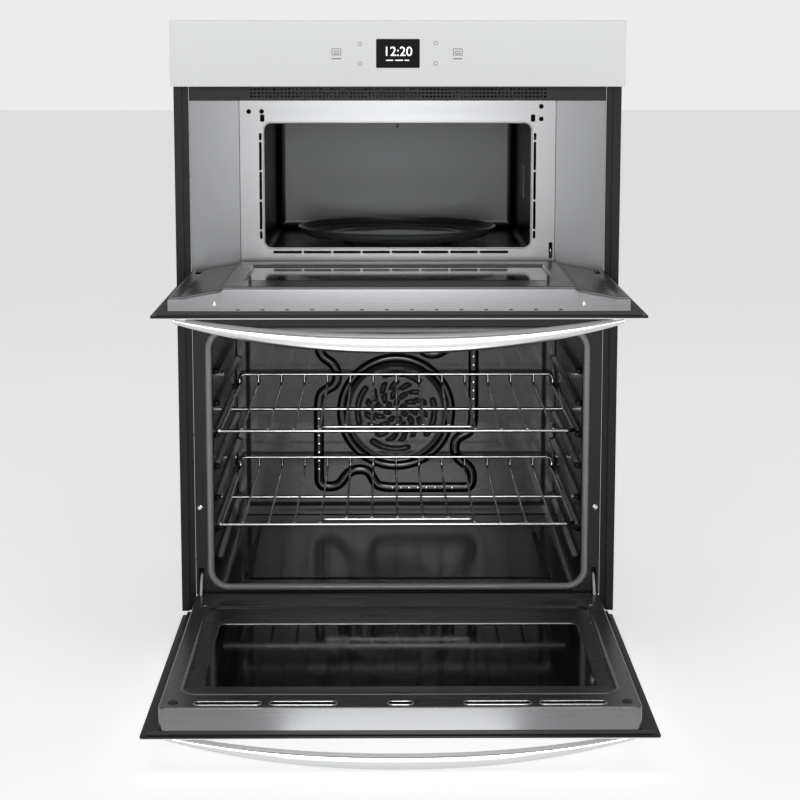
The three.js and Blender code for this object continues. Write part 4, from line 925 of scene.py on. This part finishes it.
def rack(name):
    """Chrome wires: a thick one runs along the front and both sides, rises at the back and crosses there.
    With it go a middle rail, a grab bar set back from the front, and thinner wires lengthwise at an even
    pitch, which rise at the back."""
    left, right, front, back, low, high = spans(name)
    half = (right - left) / 2
    rail, thin = RAIL_RADIUS, WIRE_RADIUS
    level = low + rail + 0.2
    top = high - rail
    rear = back - rail
    side, near, middle = half - rail, front + rail, front + MIDDLE_RAIL
    outline = [(-side, near, level), (side, near, level), (side, rear, level), (side, rear, top),
               (-side, rear, top), (-side, rear, level), (-side, near, level)]
    shapes = [wire(outline, rail, 16),
              wire([(-side, middle, level - 2.6), (side, middle, level - 2.6)], rail)]
    grab = front + GRAB_SET_BACK
    grip = [(-GRAB_HALF, near, level), (-GRAB_HALF, grab, level), (GRAB_HALF, grab, level),
            (GRAB_HALF, near, level)]
    shapes.append(wire(grip, rail, 10))
    for i in range(WIRE_COUNT):
        x = (i - 6) * WIRE_PITCH
        start = grab if abs(i - 6) <= 2 else near
        path = [(x, start, level + 2.0), (x, rear - 1, level + 2.0), (x, rear - 1, top)]
        shapes.append(wire(path, thin, 10))
    make(name + "_wires", joined(*shapes), bright_chrome, name, [name], crease=60)


rack("upper_rack")
rack("lower_rack")

# --- chassis sheets ---------------------------------------------------------------------------------------

PRESS = 2.4  # depth of the pressed fields in the outer sheets
RIB_HALF = 13
SCREW_RADIUS, SCREW_RISE = 4, 1.5
SET_IN = 0.9  # the rear sheet lies this far inside the chassis


def pressed(span_u, span_v, field, ribs, more_u=(), more_v=()):
    """A sheet's grid over two spans, with lines close together at every edge, and how far it is pressed in:
    PRESS inside the field's rounded rectangle, and nothing on the ribs inside it."""
    edges_u = [*field[:2], *(edge for rib in ribs for edge in rib[:2]), *more_u]
    edges_v = [*field[2:], *(edge for rib in ribs for edge in rib[2:]), *more_v]
    u, v = np.meshgrid(ruled(*span_u, 14, edges_u), ruled(*span_v, 14, edges_v))
    return u, v, PRESS * (recess(u, v, *field, 24) - sum(recess(u, v, *rib, 12) for rib in ribs))


def side_sheet(name, side):
    """A side of the chassis with its ribs, cut away at the lower front, and the screws along its edges."""
    left, right, front, back, low, high = spans("side_panel_" + name)
    outer = right if side > 0 else left
    apron_back, frame_foot = 77, 87
    field = (92, back - 30, 62, high - 34)
    ribs = [(front + 86, back - 78, h - RIB_HALF, h + RIB_HALF) for h in (230, 430, 630, 830)]
    along, up, inward = pressed((front, back), (low, high), field, ribs, [apron_back], [frame_foot])
    clear = (up[:-1, :-1] < frame_foot - 0.1) & (along[:-1, :-1] < apron_back - 0.1)
    make("side_sheet_" + name, grid_skin(np.stack([outer - side * inward, along, up], -1), clear), zinc,
         "chassis", ["side_panel_" + name], wall=0.9, facing=(side, 0, 0))
    spots = [(back - 10, h) for h in np.linspace(low + 30, high - 18, 8)]
    spots += [(front + 10, h) for h in np.linspace(low + 120, high - 18, 5)]
    return [screw_head(outer, depth, h, SCREW_RADIUS, "x", SCREW_RISE * side) for depth, h in spots]


def top_sheet():
    """The chassis top with ribs that run to the back, and the screws along its front and rear edges."""
    left, right, front, back, low, high = spans("top_cover")
    field = (-316, 316, front + 60, back - 24)
    ribs = [(x - RIB_HALF, x + RIB_HALF, front + 130, back - 96) for x in (-210, -70, 70, 210)]
    wide, along, down = pressed((left, right), (front, back), field, ribs)
    make("top_sheet", grid_skin(np.stack([wide, along, high - down], -1)), zinc, "chassis",
         ["top_cover"], wall=0.9, facing=(0, 0, 1))
    return [screw_head(x, depth, high, SCREW_RADIUS, "z", SCREW_RISE)
            for x in np.linspace(left + 12, right - 12, 6) for depth in (front + 14, back - 10)]


def rear_sheet():
    """The chassis back with ribs across, five open slots under its top edge, and the screws round its edge.
    The set-in leaves room for the screw heads."""
    left, right, front, back, low, high = spans("rear_cover")
    face, rise = back - SET_IN, SET_IN - 0.05
    field = (-318, 318, low + 50, 950)
    ribs = [(-250, 250, h - RIB_HALF, h + RIB_HALF) for h in (260, 430, 600, 770)]
    slots = high - 90 + 14 * np.arange(5)
    slot_half, slot_tall = 120, 6
    wide, up, inward = pressed((left, right), (low, high), field, ribs, (-slot_half, slot_half),
                               (*slots, *(slots + slot_tall)))
    middle_u, middle_v = (wide[0, 1:] + wide[0, :-1]) / 2, (up[1:, 0] + up[:-1, 0]) / 2
    in_slot = (abs(middle_v[:, None] - slots - slot_tall / 2) < slot_tall / 2).any(1)
    opened = in_slot[:, None] & (abs(middle_u) < slot_half)[None, :]
    make("rear_sheet", grid_skin(np.stack([wide, face - inward, up], -1), opened), zinc, "chassis",
         ["rear_cover"], wall=0.7, facing=(0, 1, 0))
    spots = [(x, h) for h in np.linspace(low + 16, high - 16, 7) for x in (left + 14, right - 14)]
    spots += [(x, h) for x in np.linspace(left + 130, right - 130, 4) for h in (low + 16, high - 16)]
    return [screw_head(x, face, h, SCREW_RADIUS, "y", rise) for x, h in spots]


chassis_screws = [*side_sheet("left", -1), *side_sheet("right", 1), *top_sheet(), *rear_sheet()]
make("chassis_screws", joined(*chassis_screws), zinc, "chassis")

# --- floor, light and camera ------------------------------------------------------------------------------

FLOOR_HALF = 30.0
floor_height = cad_box[0].z - MM
tile = np.linspace(-FLOOR_HALF, FLOOR_HALF, 5)
floor_x, floor_y = np.meshgrid(tile, tile)
floor_mesh = bpy.data.meshes.new("studio_floor")
floor_mesh.from_pydata(np.c_[floor_x.ravel(), floor_y.ravel(), np.full(floor_x.size, floor_height)], [],
                       quads(5, 5))
floor_mesh.materials.append(floor_paint)
floor = bpy.data.objects.new("studio_floor", floor_mesh)
bpy.context.scene.collection.objects.link(floor)


def area_light(name, place, aim, width, tall, power):
    """A soft rectangular light at a place, aimed at a point."""
    data = bpy.data.lights.new(name, "AREA")
    data.shape, data.size, data.size_y, data.energy = "RECTANGLE", width, tall, power
    lamp = bpy.data.objects.new(name, data)
    lamp.location = place
    lamp.rotation_mode = "QUATERNION"
    lamp.rotation_quaternion = (-(lamp.location - Vector(aim))).to_track_quat("-Z", "Y")
    lamp.visible_camera = False
    bpy.context.scene.collection.objects.link(lamp)


area_light("front_softbox", (0, -4.6, 1.10), (0, 0, 0.75), 0.9, 1.5, 40)
area_light("overhead_softbox", (0, -2.0, 3.6), (0, -0.9, 0), 3.4, 2.4, 34)
area_light("low_softbox", (0, -1.22, floor_height + 0.004), (0, -1.22, 1), 0.36, 0.46, 1.5)
area_light("far_low_softbox", (0, -5.1, floor_height + 0.004), (0, -5.1, 1), 0.8, 1.2, 5)
world = bpy.data.worlds.new("studio")
world.use_nodes = True
sky, sky_links = world.node_tree.nodes, world.node_tree.links
soft_light = sky["Background"]
soft_light.inputs["Color"].default_value = (0.95, 0.96, 0.97, 1)
soft_light.inputs["Strength"].default_value = 0.36
backdrop = sky.new("ShaderNodeBackground")
backdrop.inputs["Color"].default_value = (0.84, 0.84, 0.84, 1)
rays, either = sky.new("ShaderNodeLightPath"), sky.new("ShaderNodeMixShader")
sky_links.new(rays.outputs["Is Camera Ray"], either.inputs["Fac"])
sky_links.new(soft_light.outputs["Background"], either.inputs[1])
sky_links.new(backdrop.outputs["Background"], either.inputs[2])
sky_links.new(either.outputs["Shader"], sky["World Output"].inputs["Surface"])
bpy.context.scene.world = world
bpy.context.scene.view_settings.view_transform = "Standard"

camera_data = bpy.data.cameras.new("camera")
camera_data.lens, camera_data.shift_y = 83.81, -0.10
camera = bpy.data.objects.new("camera", camera_data)
camera.location = (-0.0211, FRONT - 3.142, FOOT + 1.038)
camera.rotation_euler = (math.radians(90 - 8.217), 0, math.radians(-0.448))
bpy.context.scene.collection.objects.link(camera)
bpy.context.scene.camera = camera

bpy.context.view_layer.update()
